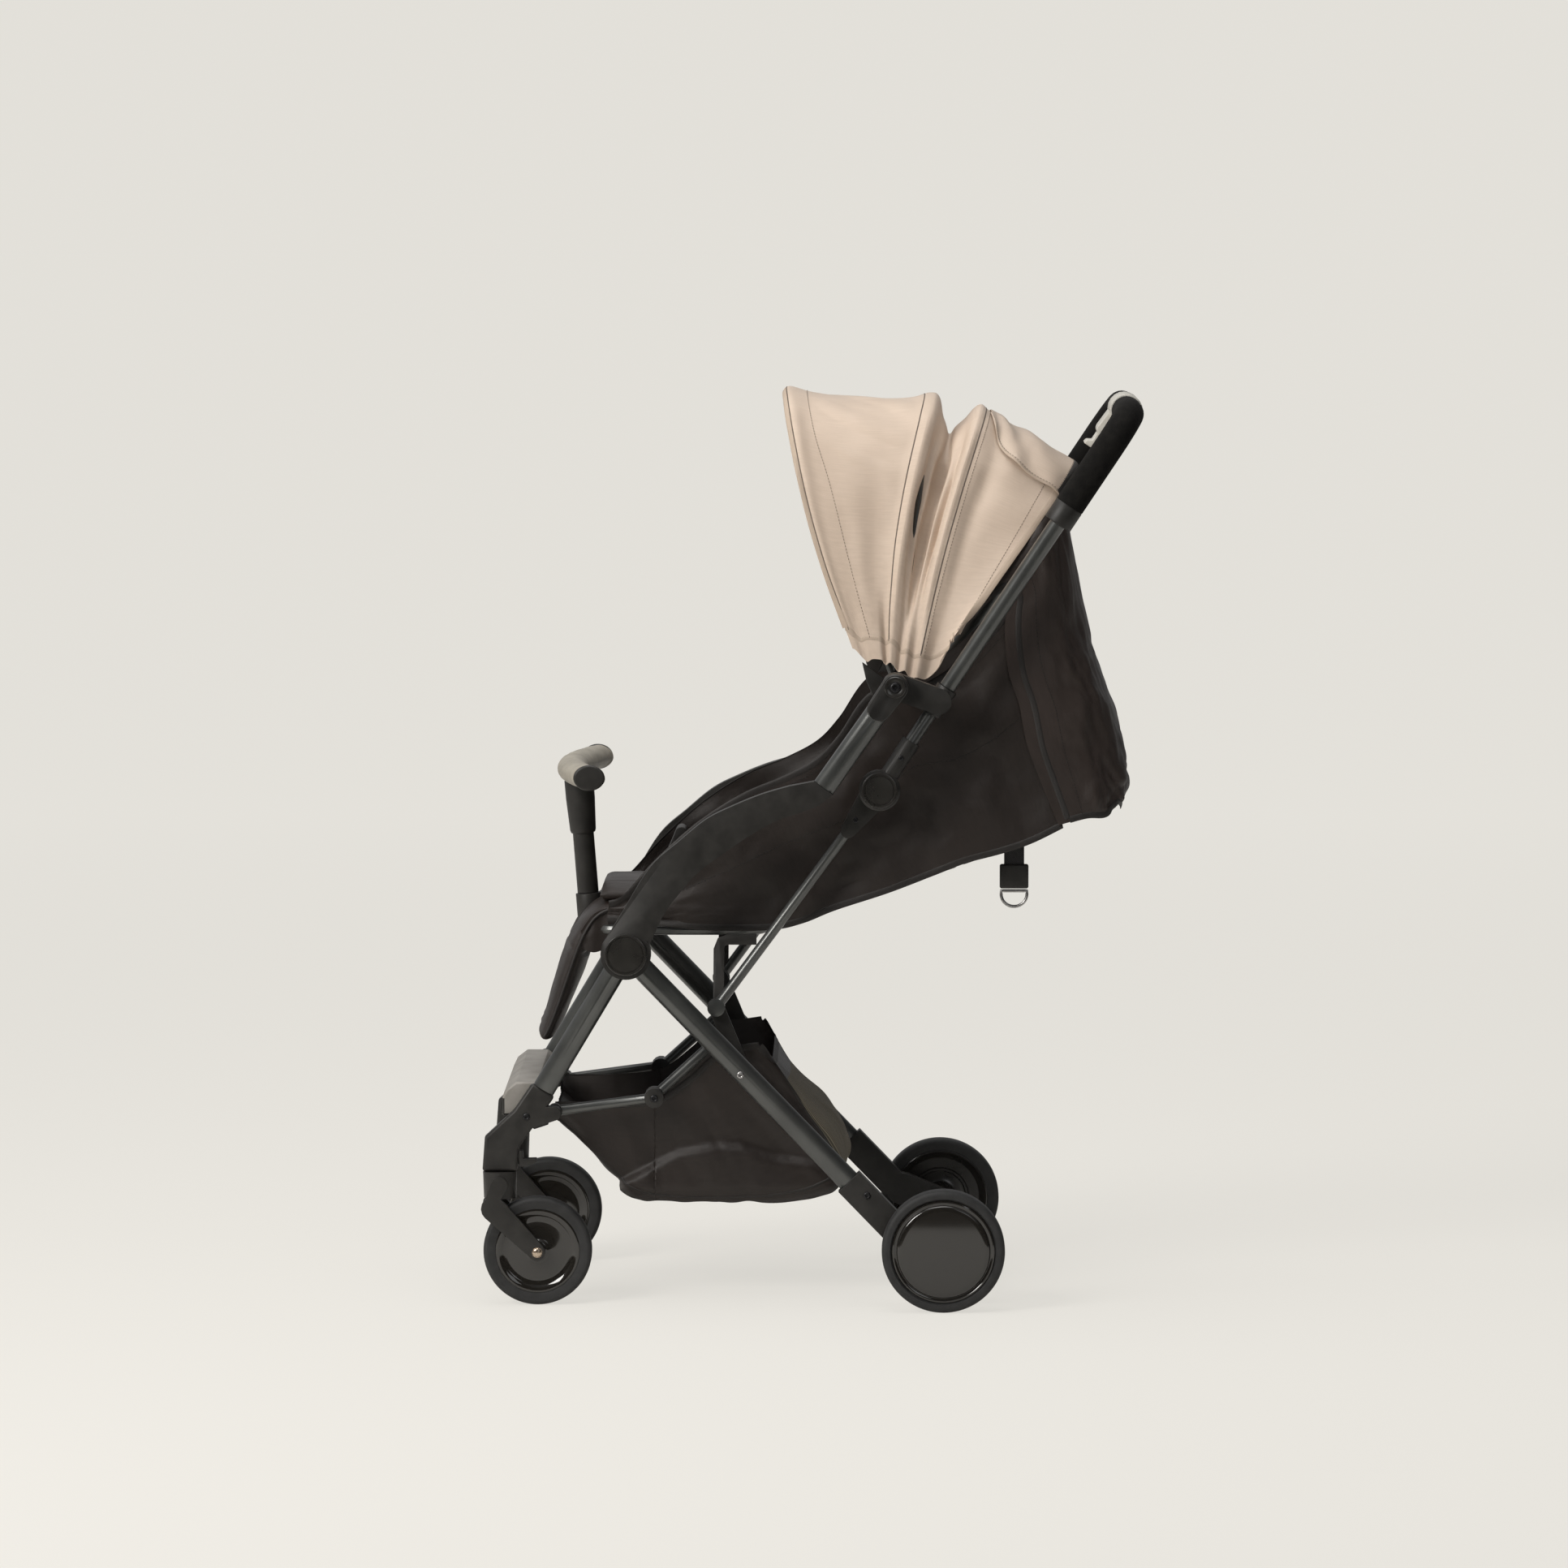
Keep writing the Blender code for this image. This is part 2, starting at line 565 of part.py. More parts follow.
def build_caster(side, s):
    x = s * FRONT_LEG_X
    body = f"caster_{side}"
    pivot(body, (SWIVEL_Y, CASTER_SEAT_Z), "front_frame", x)
    top = CASTER_SEAT_Z - TOUCH
    bm = bmesh.new()
    bmesh.ops.create_cone(bm, cap_ends=True, segments=20, radius1=0.0185, radius2=0.0195,
                          depth=SWIVEL_HIGH)
    bmesh.ops.translate(bm, verts=bm.verts, vec=(x, SWIVEL_Y, top - SWIVEL_HIGH / 2))
    fork = make(f"caster_fork_{side}", bm, PLASTIC, body)
    reach = FRONT_WHEEL_WIDTH / 2 + FORK_GAP
    crown = plate(f"fork_crown_{side}_shape",
                  link_outline((SWIVEL_Y, 0.1390), 0.0095, FORK_CROWN, 0.0080),
                  x - reach - FORK_ARM, x + reach + FORK_ARM, PLASTIC, body)
    shapes = [crown]
    for word, t in (("outer", 1), ("inner", -1)):
        near, far = x + t * reach, x + t * (reach + FORK_ARM)
        shapes.append(plate(f"fork_{word}_arm_{side}_shape",
                            link_outline(FORK_SHOULDER, FORK_SHOULDER_R, FRONT_AXLE, 0.0095), near, far,
                            PLASTIC, body))
        gap = x + t * (FRONT_WHEEL_WIDTH / 2 + LAYER_GAP)
        shapes.append(make(f"fork_{word}_boss_{side}_shape",
                           turned([(gap, 0.0080), (x + t * (reach + 0.001), 0.0080)], FRONT_AXLE, 16),
                           PLASTIC, body))
    combine(fork, shapes)
    wheel = f"front_wheel_{side}"
    pivot(wheel, FRONT_AXLE, body, x)
    w, r = FRONT_WHEEL_WIDTH / 2, FRONT_WHEEL_R
    half = [(-w, 0.012), (-w + 0.003, 0.014), (-w + 0.005, r - 0.016), (-w + 0.001, r - 0.013),
            (-w + 0.0005, r - 0.004), (-w + 0.004, r)]
    profile = half + [(-q, radius) for q, radius in half[::-1]]
    make(wheel, turned([(x + q, radius) for q, radius in profile], FRONT_AXLE, WHEEL_SIDES),
         TYRE, wheel)


def build_swivel_lock(side, s):
    """A tab behind the socket that slides down into the fork to hold the caster straight."""
    x = s * FRONT_LEG_X
    body = f"swivel_lock_{side}"
    back = SWIVEL_Y + 0.0220
    pivot(body, (back, CASTER_SEAT_Z + 0.012), "front_frame", x)
    outline = [(back, CASTER_SEAT_Z + 0.0070), (back + 0.0035, CASTER_SEAT_Z + 0.0050),
               (back + 0.0200, CASTER_SEAT_Z + 0.0105), (back + 0.0200, CASTER_SEAT_Z + 0.0150),
               (back + 0.0050, CASTER_SEAT_Z + 0.0145), (back + 0.0040, CASTER_SEAT_Z + 0.0240),
               (back, CASTER_SEAT_Z + 0.0240)]
    plate(body, outline, x - 0.0070, x + 0.0070, PLASTIC, body)


for side, s in SIDES:
    build_front_leg(side, s)
    build_caster(side, s)
    build_swivel_lock(side, s)

plate("footrest", FOOTREST_OUTLINE, -FOOTREST_HALF, FOOTREST_HALF, GREIGE, "front_frame", 0.0020)


# Push handle: a U tube, foam grips, release housing and trigger, top brackets, lower housings
GRIP_LENGTH = 0.1230
COLLAR_HIGH = 0.0240
SLEEVE_TOP = 0.3720
SLEEVE_LONG = 0.0340
SLEEVE_R = 0.0125
GRIP_BEND_R = 0.0450
THIN_TUBE_R = 0.0078
HOUSING_LONG = 0.0460
HOUSING_R = 0.0108
KNEE_R = 0.0235
RELEASE_HALF = 0.0450
TRIGGER_SHIFT = 0.0090
TRIGGER_THICK = 0.0070
TRIGGER_HALF = 0.0240
TRIGGER_STEM_TOP = 0.0340
TRIGGER_TRAVEL = 0.0060


def handle_point(distance, shift=0.0):
    """A point down the handle's line from its top; shift is square to it, to the front."""
    spot = polar(HANDLE_TOP, HANDLE_SLOPE + pi, distance)
    return polar(spot, HANDLE_SLOPE + pi / 2, shift)


def handle_path(start, bend_steps=6):
    """Centre line of one side of the U, from a distance down it round to the middle."""
    straight = [(HANDLE_X, *handle_point(start)), (HANDLE_X, *handle_point(GRIP_BEND_R))]
    bend = []
    for i in range(1, bend_steps + 1):
        turn = pi / 2 * i / bend_steps
        x = HANDLE_X - GRIP_BEND_R * (1 - cos(turn))
        bend.append((x, *handle_point(GRIP_BEND_R * (1 - sin(turn)))))
    return straight + bend


def build_handle():
    grip_start = GRIP_LENGTH
    for side, s in SIDES:
        path = handle_path(grip_start) + [(RELEASE_HALF + TOUCH, *HANDLE_TOP)]
        wire(f"grip_{side}", [(s * x, y, z) for x, y, z in path], GRIP_R, FOAM, "handle", rings=4)
        low = handle_point(SLEEVE_TOP - TOUCH)
        high = handle_point(GRIP_LENGTH + TOUCH)
        tube = make(f"handle_tube_{side}", prism(low, high, 2 * HANDLE_TUBE_R, 2 * HANDLE_TUBE_R,
                    s * HANDLE_X), GUNMETAL, "handle")
        collar_low = handle_point(GRIP_LENGTH + TOUCH + COLLAR_HIGH)
        collar = make(f"grip_collar_{side}_shape", prism(collar_low, high, 2 * GRIP_R,
                      2 * GRIP_R, s * HANDLE_X, 20), PLASTIC, "handle")
        combine(tube, [collar])
        build_handle_bracket(side, s)
        build_handle_lower(side, s)
    housing = prism((-RELEASE_HALF, 0.0), (RELEASE_HALF, 0.0), 0.0380, 0.0380, 0.0, 20)
    turn = Matrix.Rotation(pi / 2, 4, "Z")
    bmesh.ops.transform(housing, matrix=Matrix.Translation((0, *HANDLE_TOP)) @ turn, verts=housing.verts)
    release = make("release_housing", housing, GREY, "handle")
    apron_low = handle_point(0.0330, 0.0090)
    apron = plate("release_apron_shape", link_outline(HANDLE_TOP, 0.0150, apron_low, 0.0075),
                  -RELEASE_HALF + 0.012, RELEASE_HALF - 0.012, GREY, "handle")
    combine(release, [apron])
    build_trigger(release)


def build_trigger(release):
    """The squeeze trigger, whose stem slides up into a pocket in the release housing."""
    pivot("release_trigger", handle_point(0.0330, TRIGGER_SHIFT), "handle")
    front, back = TRIGGER_SHIFT + TRIGGER_THICK / 2, TRIGGER_SHIFT - TRIGGER_THICK / 2
    outline = [handle_point(TRIGGER_STEM_TOP, back), handle_point(0.0580, back),
               handle_point(0.0580, front + 0.0065), handle_point(0.0530, front + 0.0055),
               handle_point(0.0500, front), handle_point(TRIGGER_STEM_TOP, front)]
    plate("release_trigger", outline, -TRIGGER_HALF, TRIGGER_HALF, GREY, "release_trigger")
    top = TRIGGER_STEM_TOP - TRIGGER_TRAVEL - LAYER_GAP
    wide = TRIGGER_HALF + TOUCH
    pocket = [handle_point(top, back - TOUCH), handle_point(0.0600, back - TOUCH),
              handle_point(0.0600, front + TOUCH), handle_point(top, front + TOUCH)]
    combine(release, [plate("trigger_pocket", pocket, -wide, wide, GREY, "handle")], "DIFFERENCE")


def build_handle_bracket(side, s):
    inner, outer = s * (REAR_LEG_X - LAYER / 2), s * (REAR_LEG_X + LAYER / 2)
    sleeve_high = handle_point(SLEEVE_TOP)
    sleeve_low = handle_point(SLEEVE_TOP + SLEEVE_LONG)
    middle = handle_point(SLEEVE_TOP + SLEEVE_LONG / 2)
    arm = plate(f"handle_bracket_{side}", link_outline(TOP_HUB, 0.0150, middle, 0.0145), inner,
                outer, PLASTIC, "handle")
    sleeve = make(f"sleeve_{side}_shape", prism(sleeve_low, sleeve_high, 2 * SLEEVE_R, 2 * SLEEVE_R,
                  s * HANDLE_X, 18), PLASTIC, "handle")
    pin = turned([(inner, CANOPY_PIN_R), (s * (HOOPS[0][3] + HOOP_R + LAYER_GAP), CANOPY_PIN_R)],
                 TOP_HUB, 16)
    combine(arm, [sleeve, make(f"canopy_pin_{side}_shape", pin, PLASTIC, "handle")])


def build_handle_lower(side, s):
    start = SLEEVE_TOP + SLEEVE_LONG + TOUCH
    knee = length_of(HANDLE_TOP, KNEE)
    lower = make(f"handle_lower_{side}", prism(handle_point(start), handle_point(knee - 0.020),
                 2 * THIN_TUBE_R, 2 * THIN_TUBE_R, s * HANDLE_X), GUNMETAL, "handle")
    housing_top = handle_point(knee - 0.020 - HOUSING_LONG)
    housing = make(f"knee_housing_{side}_shape", prism(KNEE, housing_top, 2 * HOUSING_R,
                   2 * HOUSING_R, s * HANDLE_X, 18), PLASTIC, "handle")
    face = STRUT_X + 0.0070 + LAYER_GAP
    profile = [(s * face, KNEE_R - 0.001), (s * (face + KNEE_THICK - 0.002), KNEE_R),
               (s * (face + KNEE_THICK), KNEE_R - 0.003)]
    knee_disc = make(f"knee_disc_{side}_shape", turned(profile, KNEE, 24), PLASTIC, "handle")
    combine(lower, [housing, knee_disc])


build_handle()


# Struts and lower links: they tie the handle's knee to the rear legs
NECK_REACH = 0.0600
STRUT_EYE_R = 0.0100
LINK_EYE_R = 0.0085
# The flat hook on each strut: its middle line, its width and its layer
HOOK_PATH = [(-0.0640, 0.4180), (-0.0960, 0.4180), (-0.1040, 0.4150), (-0.1070, 0.4070),
             (-0.1075, 0.3480)]
HOOK_WIDE = 0.0120
HOOK_OUTER_X = FRONT_LEG_X - LAYER / 2 - LAYER_GAP
HOOK_THICK = 0.0050


def hook_outline():
    """The band's outer edge and back along its inner edge, square to its middle line."""
    edges = ([], [])
    for i, spot in enumerate(HOOK_PATH):
        before, after = HOOK_PATH[max(i - 1, 0)], HOOK_PATH[min(i + 1, len(HOOK_PATH) - 1)]
        way = angle_of(before, after)
        edges[0].append(polar(spot, way + pi / 2, HOOK_WIDE / 2))
        edges[1].append(polar(spot, way - pi / 2, HOOK_WIDE / 2))
    return edges[0] + edges[1][::-1]


def build_struts():
    for side, s in SIDES:
        foot_in, foot_out = s * (STRUT_X - STRUT_R), s * (STRUT_X + STRUT_R)
        neck = along(KNEE, STRUT_FOOT, NECK_REACH)
        strut = make(f"strut_{side}", prism(STRUT_FOOT, neck, 2 * STRUT_R, 2 * STRUT_R, s * STRUT_X),
                     GUNMETAL, "struts")
        eye = make(f"strut_eye_{side}_shape", turned([(foot_in, STRUT_EYE_R),
                   (foot_out, STRUT_EYE_R)], STRUT_FOOT, 16), GUNMETAL, "struts")
        near, far = s * (STRUT_X - 0.0070), s * (STRUT_X + 0.0070)
        neck_plate = plate(f"strut_neck_{side}_shape", link_outline(KNEE, 0.0180, neck, 0.0085),
                           near, far, PLASTIC, "struts")
        hook = plate(f"strut_hook_{side}_shape", hook_outline(), s * (HOOK_OUTER_X - HOOK_THICK),
                     s * HOOK_OUTER_X, PLASTIC, "struts")
        combine(strut, [eye, neck_plate, hook])


def build_lower_links():
    """A flat link inside each strut, on a boss that pivots on the rear leg's inner face."""
    outer = STRUT_X - STRUT_R - LAYER_GAP
    inner = outer - LINK_THICK
    leg_face = REAR_LEG_X - LAYER / 2 - LAYER_GAP
    for side, s in SIDES:
        outline = link_outline(LINK_FOOT, 0.0105, STRUT_FOOT, LINK_EYE_R)
        link = plate(f"lower_link_{side}", outline, s * inner, s * outer, PLASTIC, "lower_links")
        boss = turned([(s * (outer - 0.001), 0.0085), (s * leg_face, 0.0085)], LINK_FOOT, 14)
        combine(link, [make(f"link_boss_{side}_shape", boss, PLASTIC, "lower_links")])


build_struts()
build_lower_links()


# Basket links: a folding pair each side, with the fabric basket hung between them
BASKET_LINK_R = 0.0060
BASKET_EYE_R = 0.0110
BASKET_FRONT_X = 0.1480
BASKET_REAR_X = 0.1325
BASKET_HALF = 0.1245


def build_basket_links():
    for side, s in SIDES:
        x = s * BASKET_FRONT_X
        link = make(f"basket_front_link_{side}", prism(BASKET_PIVOT, BASKET_KNEE, 2 * BASKET_LINK_R,
                    2 * BASKET_LINK_R, x, 14), GUNMETAL, "basket_front")
        reach = s * (FRONT_LEG_X - LAYER / 2 - LAYER_GAP)
        clevis = turned([(x - s * 0.0060, 0.0085), (reach, 0.0085)], BASKET_PIVOT, 14)
        knee = turned([(x - s * 0.0060, BASKET_EYE_R), (x + s * 0.0060, BASKET_EYE_R)], BASKET_KNEE, 16)
        combine(link, [make(f"basket_clevis_{side}_shape", clevis, PLASTIC, "basket_front"),
                       make(f"basket_knee_{side}_shape", knee, PLASTIC, "basket_front")])
        x = s * BASKET_REAR_X
        end = along(BASKET_KNEE, BASKET_REAR, length_of(BASKET_KNEE, BASKET_REAR) - 0.004)
        rear = make(f"basket_rear_link_{side}", prism(BASKET_KNEE, end, 2 * BASKET_LINK_R,
                    2 * BASKET_LINK_R, x, 14), GUNMETAL, "basket_rear")
        face = s * (BASKET_FRONT_X - BASKET_LINK_R - LAYER_GAP)
        eye = turned([(x - s * 0.0060, BASKET_EYE_R), (face, BASKET_EYE_R)], BASKET_KNEE, 16)
        combine(rear, [make(f"basket_eye_{side}_shape", eye, PLASTIC, "basket_rear")])


build_basket_links()

BASKET_PATH = [(-0.2954, 0.2080), (-0.2526, 0.1697), (-0.2148, 0.1330), (-0.1805, 0.1185),
               (-0.1375, 0.1125), (-0.0861, 0.1125), (-0.0432, 0.1155), (0.0050, 0.1300),
               (0.0260, 0.1560), (-0.0100, 0.2060), (-0.0538, 0.2740)]
BASKET_RIM = [(-0.2960, 0.2200), (-0.2400, 0.2230), (-0.1812, 0.2300), (-0.1440, 0.2560),
              (-0.1124, 0.2870), (-0.0620, 0.2920)]


def basket_surface(u, v):
    """A sagging bag: across u from rim to rim, along v from the front up to the rear edge."""
    across = 2 * u - 1
    floor = curve_through(BASKET_PATH, v)
    rim = curve_through(BASKET_RIM, v)
    wall = 0.62
    climb = max(0.0, (abs(across) - wall) / (1 - wall)) ** 1.5
    sag = 0.006 * (1 - min(1.0, abs(across) / wall) ** 2) * sin(pi * min(v * 1.3, 1.0))
    fold = 0.0022 * sin(9 * pi * v) * sin(pi * min(1.0, abs(across)))
    x = BASKET_HALF * math.copysign(min(1.0, abs(across) / wall) ** 0.9, across) if across else 0.0
    x *= 0.90 + 0.10 * climb
    y = floor[0] + (rim[0] - floor[0]) * climb
    z = floor[1] + (rim[1] - floor[1]) * climb - sag + fold
    return Vector((x, y, z))


sheet("basket", basket_surface, 16, 16, CLOTH, CHARCOAL, "frame")


# Bumper bar: a T post that plugs into the seat's front and carries a padded bar
POST_WIDE = 0.0245
BAR_HALF = 0.1500
BAR_SPINE = (-0.2790, 0.6020)
BAR_SWEEP = 0.0250
BAR_WIDE = 0.0340
BAR_HIGH = 0.0270


def build_bumper():
    pivot("bumper", POST_FOOT, "frame")
    post = make("bumper_post", prism(POST_FOOT, along(POST_FOOT, POST_TOP, 0.0900), POST_WIDE, POST_WIDE,
                0.0, 18), PLASTIC, "bumper")
    collar_low = along(POST_FOOT, POST_TOP, 0.0720)
    collar = make("post_collar_shape", prism(collar_low, POST_TOP, POST_WIDE + 0.0090,
                  POST_WIDE + 0.0180, 0.0, 18), PLASTIC, "bumper")
    bar_low = BAR_SPINE[1] - BAR_HIGH / 2
    neck_top = bar_low - TOUCH
    neck = plate("post_neck_shape", [(POST_TOP[0] - 0.0100, POST_TOP[1] - 0.0060),
                 (POST_TOP[0] + 0.0100, POST_TOP[1] - 0.0060), (BAR_SPINE[0] + 0.0090, neck_top),
                 (BAR_SPINE[0] - 0.0090, neck_top)], -0.0160, 0.0160, PLASTIC, "bumper")
    spigot_low = along(POST_FOOT, POST_TOP, -SPIGOT_LONG)
    spigot_top = along(POST_FOOT, POST_TOP, 0.0050)
    spigot = make("post_spigot_shape", prism(spigot_low, spigot_top, 2 * SPIGOT_R, 2 * SPIGOT_R,
                  0.0, 14), PLASTIC, "bumper")
    combine(post, [collar, neck, spigot])
    rows = 16
    sides = 14
    bm = bmesh.new()
    rings = []
    for i in range(rows + 1):
        t = 2 * i / rows - 1
        swell = (1 - 0.12 * t * t) * (0.55 if abs(t) == 1 else 1.0)
        centre = (BAR_SPINE[0] + BAR_SWEEP * t * t, BAR_SPINE[1])
        ring = []
        for k in range(sides):
            turn = 2 * pi * k / sides
            ring.append(bm.verts.new((BAR_HALF * t * (1.0 if abs(t) == 1 else 0.985),
                                      centre[0] + BAR_WIDE / 2 * swell * cos(turn),
                                      centre[1] + BAR_HIGH / 2 * swell * sin(turn))))
        rings.append(ring)
    for one, two in zip(rings, rings[1:]):
        for k in range(sides):
            j = (k + 1) % sides
            bm.faces.new((one[k], one[j], two[j], two[k]))
    bm.faces.new(rings[0])
    bm.faces.new(rings[-1])
    make("bumper_bar", bm, GREIGE, "bumper")


build_bumper()


# Seat: a padded pan with sewn channels, its front roll, the leg rest and the crotch strap
SEAT_PAD_FRONT = -0.2385
SEAT_PAD_REAR = -0.0535
SEAT_THICK = 0.0200
SEAT_BOTTOM_Z = SEAT_REAR_BAR[1] + SEAT_FRAME_R + TOUCH
CHANNELS = 4


def cushion_height(u, v, full, channel_depth):
    """Thickness of a pad: full in the middle, drawn in at its edges, sewn along channels."""
    edge_u = min(u, 1 - u) * 2
    edge_v = min(v, 1 - v) * 2
    crown = (1 - (1 - min(1.0, edge_u * 3.5)) ** 2) * (1 - (1 - min(1.0, edge_v * 3.5)) ** 2)
    seam = abs(sin(pi * u * CHANNELS)) ** 0.6
    return full * (0.30 + 0.70 * crown) - channel_depth * (1 - seam) * crown


def seat_height(u, v):
    return cushion_height(u, v, SEAT_THICK, 0.006)


def seat_surface(u, v):
    """The middle of the pad, whose underside is flat on the seat frame."""
    waist = 1 - 0.03 * sin(pi * v)
    y = SEAT_PAD_FRONT + (SEAT_PAD_REAR - SEAT_PAD_FRONT) * v
    return Vector(((2 * u - 1) * SEAT_HALF * waist, y, SEAT_BOTTOM_Z + seat_height(u, v) / 2))


flat_pad("seat_pad", seat_surface, seat_height, 20, 10, (0, 0, 1), CHARCOAL, "frame")

LEG_REST_PATH = [(-0.2497, 0.4338), (-0.2660, 0.4210), (-0.2770, 0.3980), (-0.2880, 0.3670),
                 (-0.2995, 0.3330), (-0.3110, 0.3020)]
LEG_REST_THICK = 0.0160
LEG_REST_HALF = 0.1120


def leg_rest_surface(u, v):
    y, z = curve_through(LEG_REST_PATH, v)
    return Vector(((2 * u - 1) * (LEG_REST_HALF - 0.006 * v), y, z))


def build_leg_rest():
    rest = sheet("calf_rest", leg_rest_surface, 16, 9,
                 lambda u, v: cushion_height(u, v, LEG_REST_THICK, 0.005), CHARCOAL, "frame")
    half = POST_SOCKET_R + 0.0010
    slot = [(POST_FOOT[0] - half - 0.0015, SEAT_FRONT_BAR[1] - 0.016),
            (POST_FOOT[0] + half, SEAT_FRONT_BAR[1] - 0.016),
            (POST_FOOT[0] + half, POST_FOOT[1]), (POST_FOOT[0] - half - 0.0015, POST_FOOT[1])]
    combine(rest, [plate("leg_rest_slot", slot, -half, half, CHARCOAL, "frame")], "DIFFERENCE")


build_leg_rest()

CROTCH_STRAP_Y = -0.1900
BUCKLE_HALF = 0.0220


def build_crotch_strap():
    """The strap stands out of the seat and ends in the harness buckle."""
    base = SEAT_BOTTOM_Z + SEAT_THICK - 0.0018
    strap = plate("harness_buckle", [(CROTCH_STRAP_Y, base), (CROTCH_STRAP_Y + 0.0030, base),
                  (CROTCH_STRAP_Y + 0.0220, base + 0.0420), (CROTCH_STRAP_Y + 0.0190, base + 0.0430)],
                  -0.0110, 0.0110, WEBBING, "frame")
    low = (CROTCH_STRAP_Y + 0.0190, base + 0.0380)
    high = (CROTCH_STRAP_Y + 0.0370, base + 0.0780)
    buckle = plate("buckle_shape", link_outline(low, 0.0055, high, 0.0065), -BUCKLE_HALF,
                   BUCKLE_HALF, PLASTIC, "frame")
    combine(strap, [buckle])


build_crotch_strap()


# Backrest, laid right back: one padded panel, stiff inside, hinged on the seat frame's rear bar
BACK_START = SEAT_FRAME_R + LAYER_GAP
BACK_LENGTH = 0.3350
BACK_SLOPE = radians(19.0)
BACK_PAD = 0.0240
BACK_HALF = 0.1060
BACK_UNDERSIDE = -0.0030


def back_point(distance, lift):
    return polar(polar(SEAT_REAR_BAR, BACK_SLOPE, distance), BACK_SLOPE + pi / 2, lift)


def back_height(u, v):
    return cushion_height(u, v, BACK_PAD, 0.006)


def back_surface(u, v):
    """The middle of the panel, whose underside is flat."""
    distance = BACK_START + (BACK_LENGTH - BACK_START) * v
    y, z = back_point(distance, BACK_UNDERSIDE + back_height(u, v) / 2)
    shoulder = 1 - 0.12 * max(0.0, v - 0.75) / 0.25
    return Vector(((2 * u - 1) * BACK_HALF * shoulder, y, z))


flat_pad("backrest_pad", back_surface, back_height, 20, 12,
         (0, -sin(BACK_SLOPE), cos(BACK_SLOPE)), CHARCOAL, "backrest")


# Side panels: the dark fabric that closes each side from the seat up to the canopy
PANEL_LOW = [(-0.2360, 0.4380), (-0.1777, 0.4345), (-0.0940, 0.4340), (-0.0382, 0.4340),
             (0.0240, 0.4500), (0.0751, 0.4680), (0.1327, 0.4867), (0.2032, 0.5083), (0.2640, 0.5290)]
PANEL_HIGH = [(-0.2330, 0.4640), (-0.1780, 0.4940), (-0.1270, 0.5380), (-0.0500, 0.5970),
              (0.0130, 0.6440), (0.0600, 0.6780), (0.1150, 0.6960), (0.1800, 0.7450), (0.2240, 0.7950)]


def panel_surface(s):
    def surface(u, v):
        low = curve_through(PANEL_LOW, u)
        high = curve_through(PANEL_HIGH, u)
        belly = 0.0006 * abs(sin(pi * v) * sin(2 * pi * u))
        return Vector((s * (PANEL_X + belly), low[0] + (high[0] - low[0]) * v,
                       low[1] + (high[1] - low[1]) * v))
    return surface


for side, s in SIDES:
    sheet(f"side_panel_{side}", panel_surface(s), 16, 3, PANEL_THICK, CHARCOAL, "frame")


# Canopy: three wire hoops on the top hub's pin and one sheet of fabric over them


def hoop_point(angle, reach, half, turn):
    """A point of a hoop, whose plane holds the hinge axis; turn runs from 0 to pi."""
    across, out = cos(turn), sin(turn)
    x = half * math.copysign(abs(across) ** (2 / HOOP_SQUARENESS), across)
    y, z = polar(TOP_HUB, angle, reach * abs(out) ** (2 / HOOP_SQUARENESS))
    return (x, y, z)


for word, angle, reach, half, inset in HOOPS:
    turns = [pi * i / 22 for i in range(23)]
    wire(f"canopy_hoop_{word}", [hoop_point(angle, reach - inset, half, t) for t in turns],
         HOOP_R, GUNMETAL, f"canopy_{word}", rings=1)

# Ribs of the cloth, from the front hoop to the hem on the handle: slope in degrees, reach
CANOPY_RIBS = [(111.6, 0.3560), (109.9, 0.3545), (102.0, 0.3420), (93.5, 0.3340), (86.5, 0.3300),
               (82.7, 0.3300), (79.6, 0.3060), (77.4, 0.2860), (74.8, 0.3050), (71.6, 0.3270),
               (65.0, 0.3240), (58.0, 0.3120), (52.0, 0.2930), (48.1, 0.2670)]
# The cloth's lower edge at each side, from the front to the rear
CANOPY_HEM = [(0.0440, 0.7500), (0.0620, 0.7390), (0.0790, 0.7280), (0.0936, 0.7225), (0.1100, 0.7205),
              (0.1300, 0.7240), (0.1430, 0.7330), (0.1560, 0.7560)]


def canopy_surface(u, v):
    """Across u over the top from side to side, along v from the front rib to the rear one."""
    slope, reach = straight_through(CANOPY_RIBS, v)
    top = polar(TOP_HUB, radians(slope), reach)
    foot = curve_through(CANOPY_HEM, v)
    turn = pi * (u + 0.035 * sin(4 * pi * u))
    across, up = cos(turn), abs(sin(turn)) ** (2 / HOOP_SQUARENESS)
    x = CANOPY_HALF * math.copysign(abs(across) ** (2 / HOOP_SQUARENESS), across)
    return Vector((x, foot[0] + (top[0] - foot[0]) * up, foot[1] + (top[1] - foot[1]) * up))


sheet("canopy", canopy_surface, 22, len(CANOPY_RIBS) - 1, CLOTH, BEIGE, "frame")


# Rear apron: the loose dark curtain from the canopy's hem down behind the backrest
APRON_EDGE = [(0.2700, 0.8900), (0.2300, 0.8150), (0.2211, 0.7660), (0.2212, 0.7149), (0.2310, 0.6462),
              (0.2430, 0.5850), (0.2580, 0.5480)]
APRON_BACK = [(0.2870, 0.8950), (0.3000, 0.8390), (0.3142, 0.7647), (0.3283, 0.7219), (0.3452, 0.6735),
              (0.3610, 0.6000), (0.3440, 0.5680)]
APRON_HALF = 0.1314


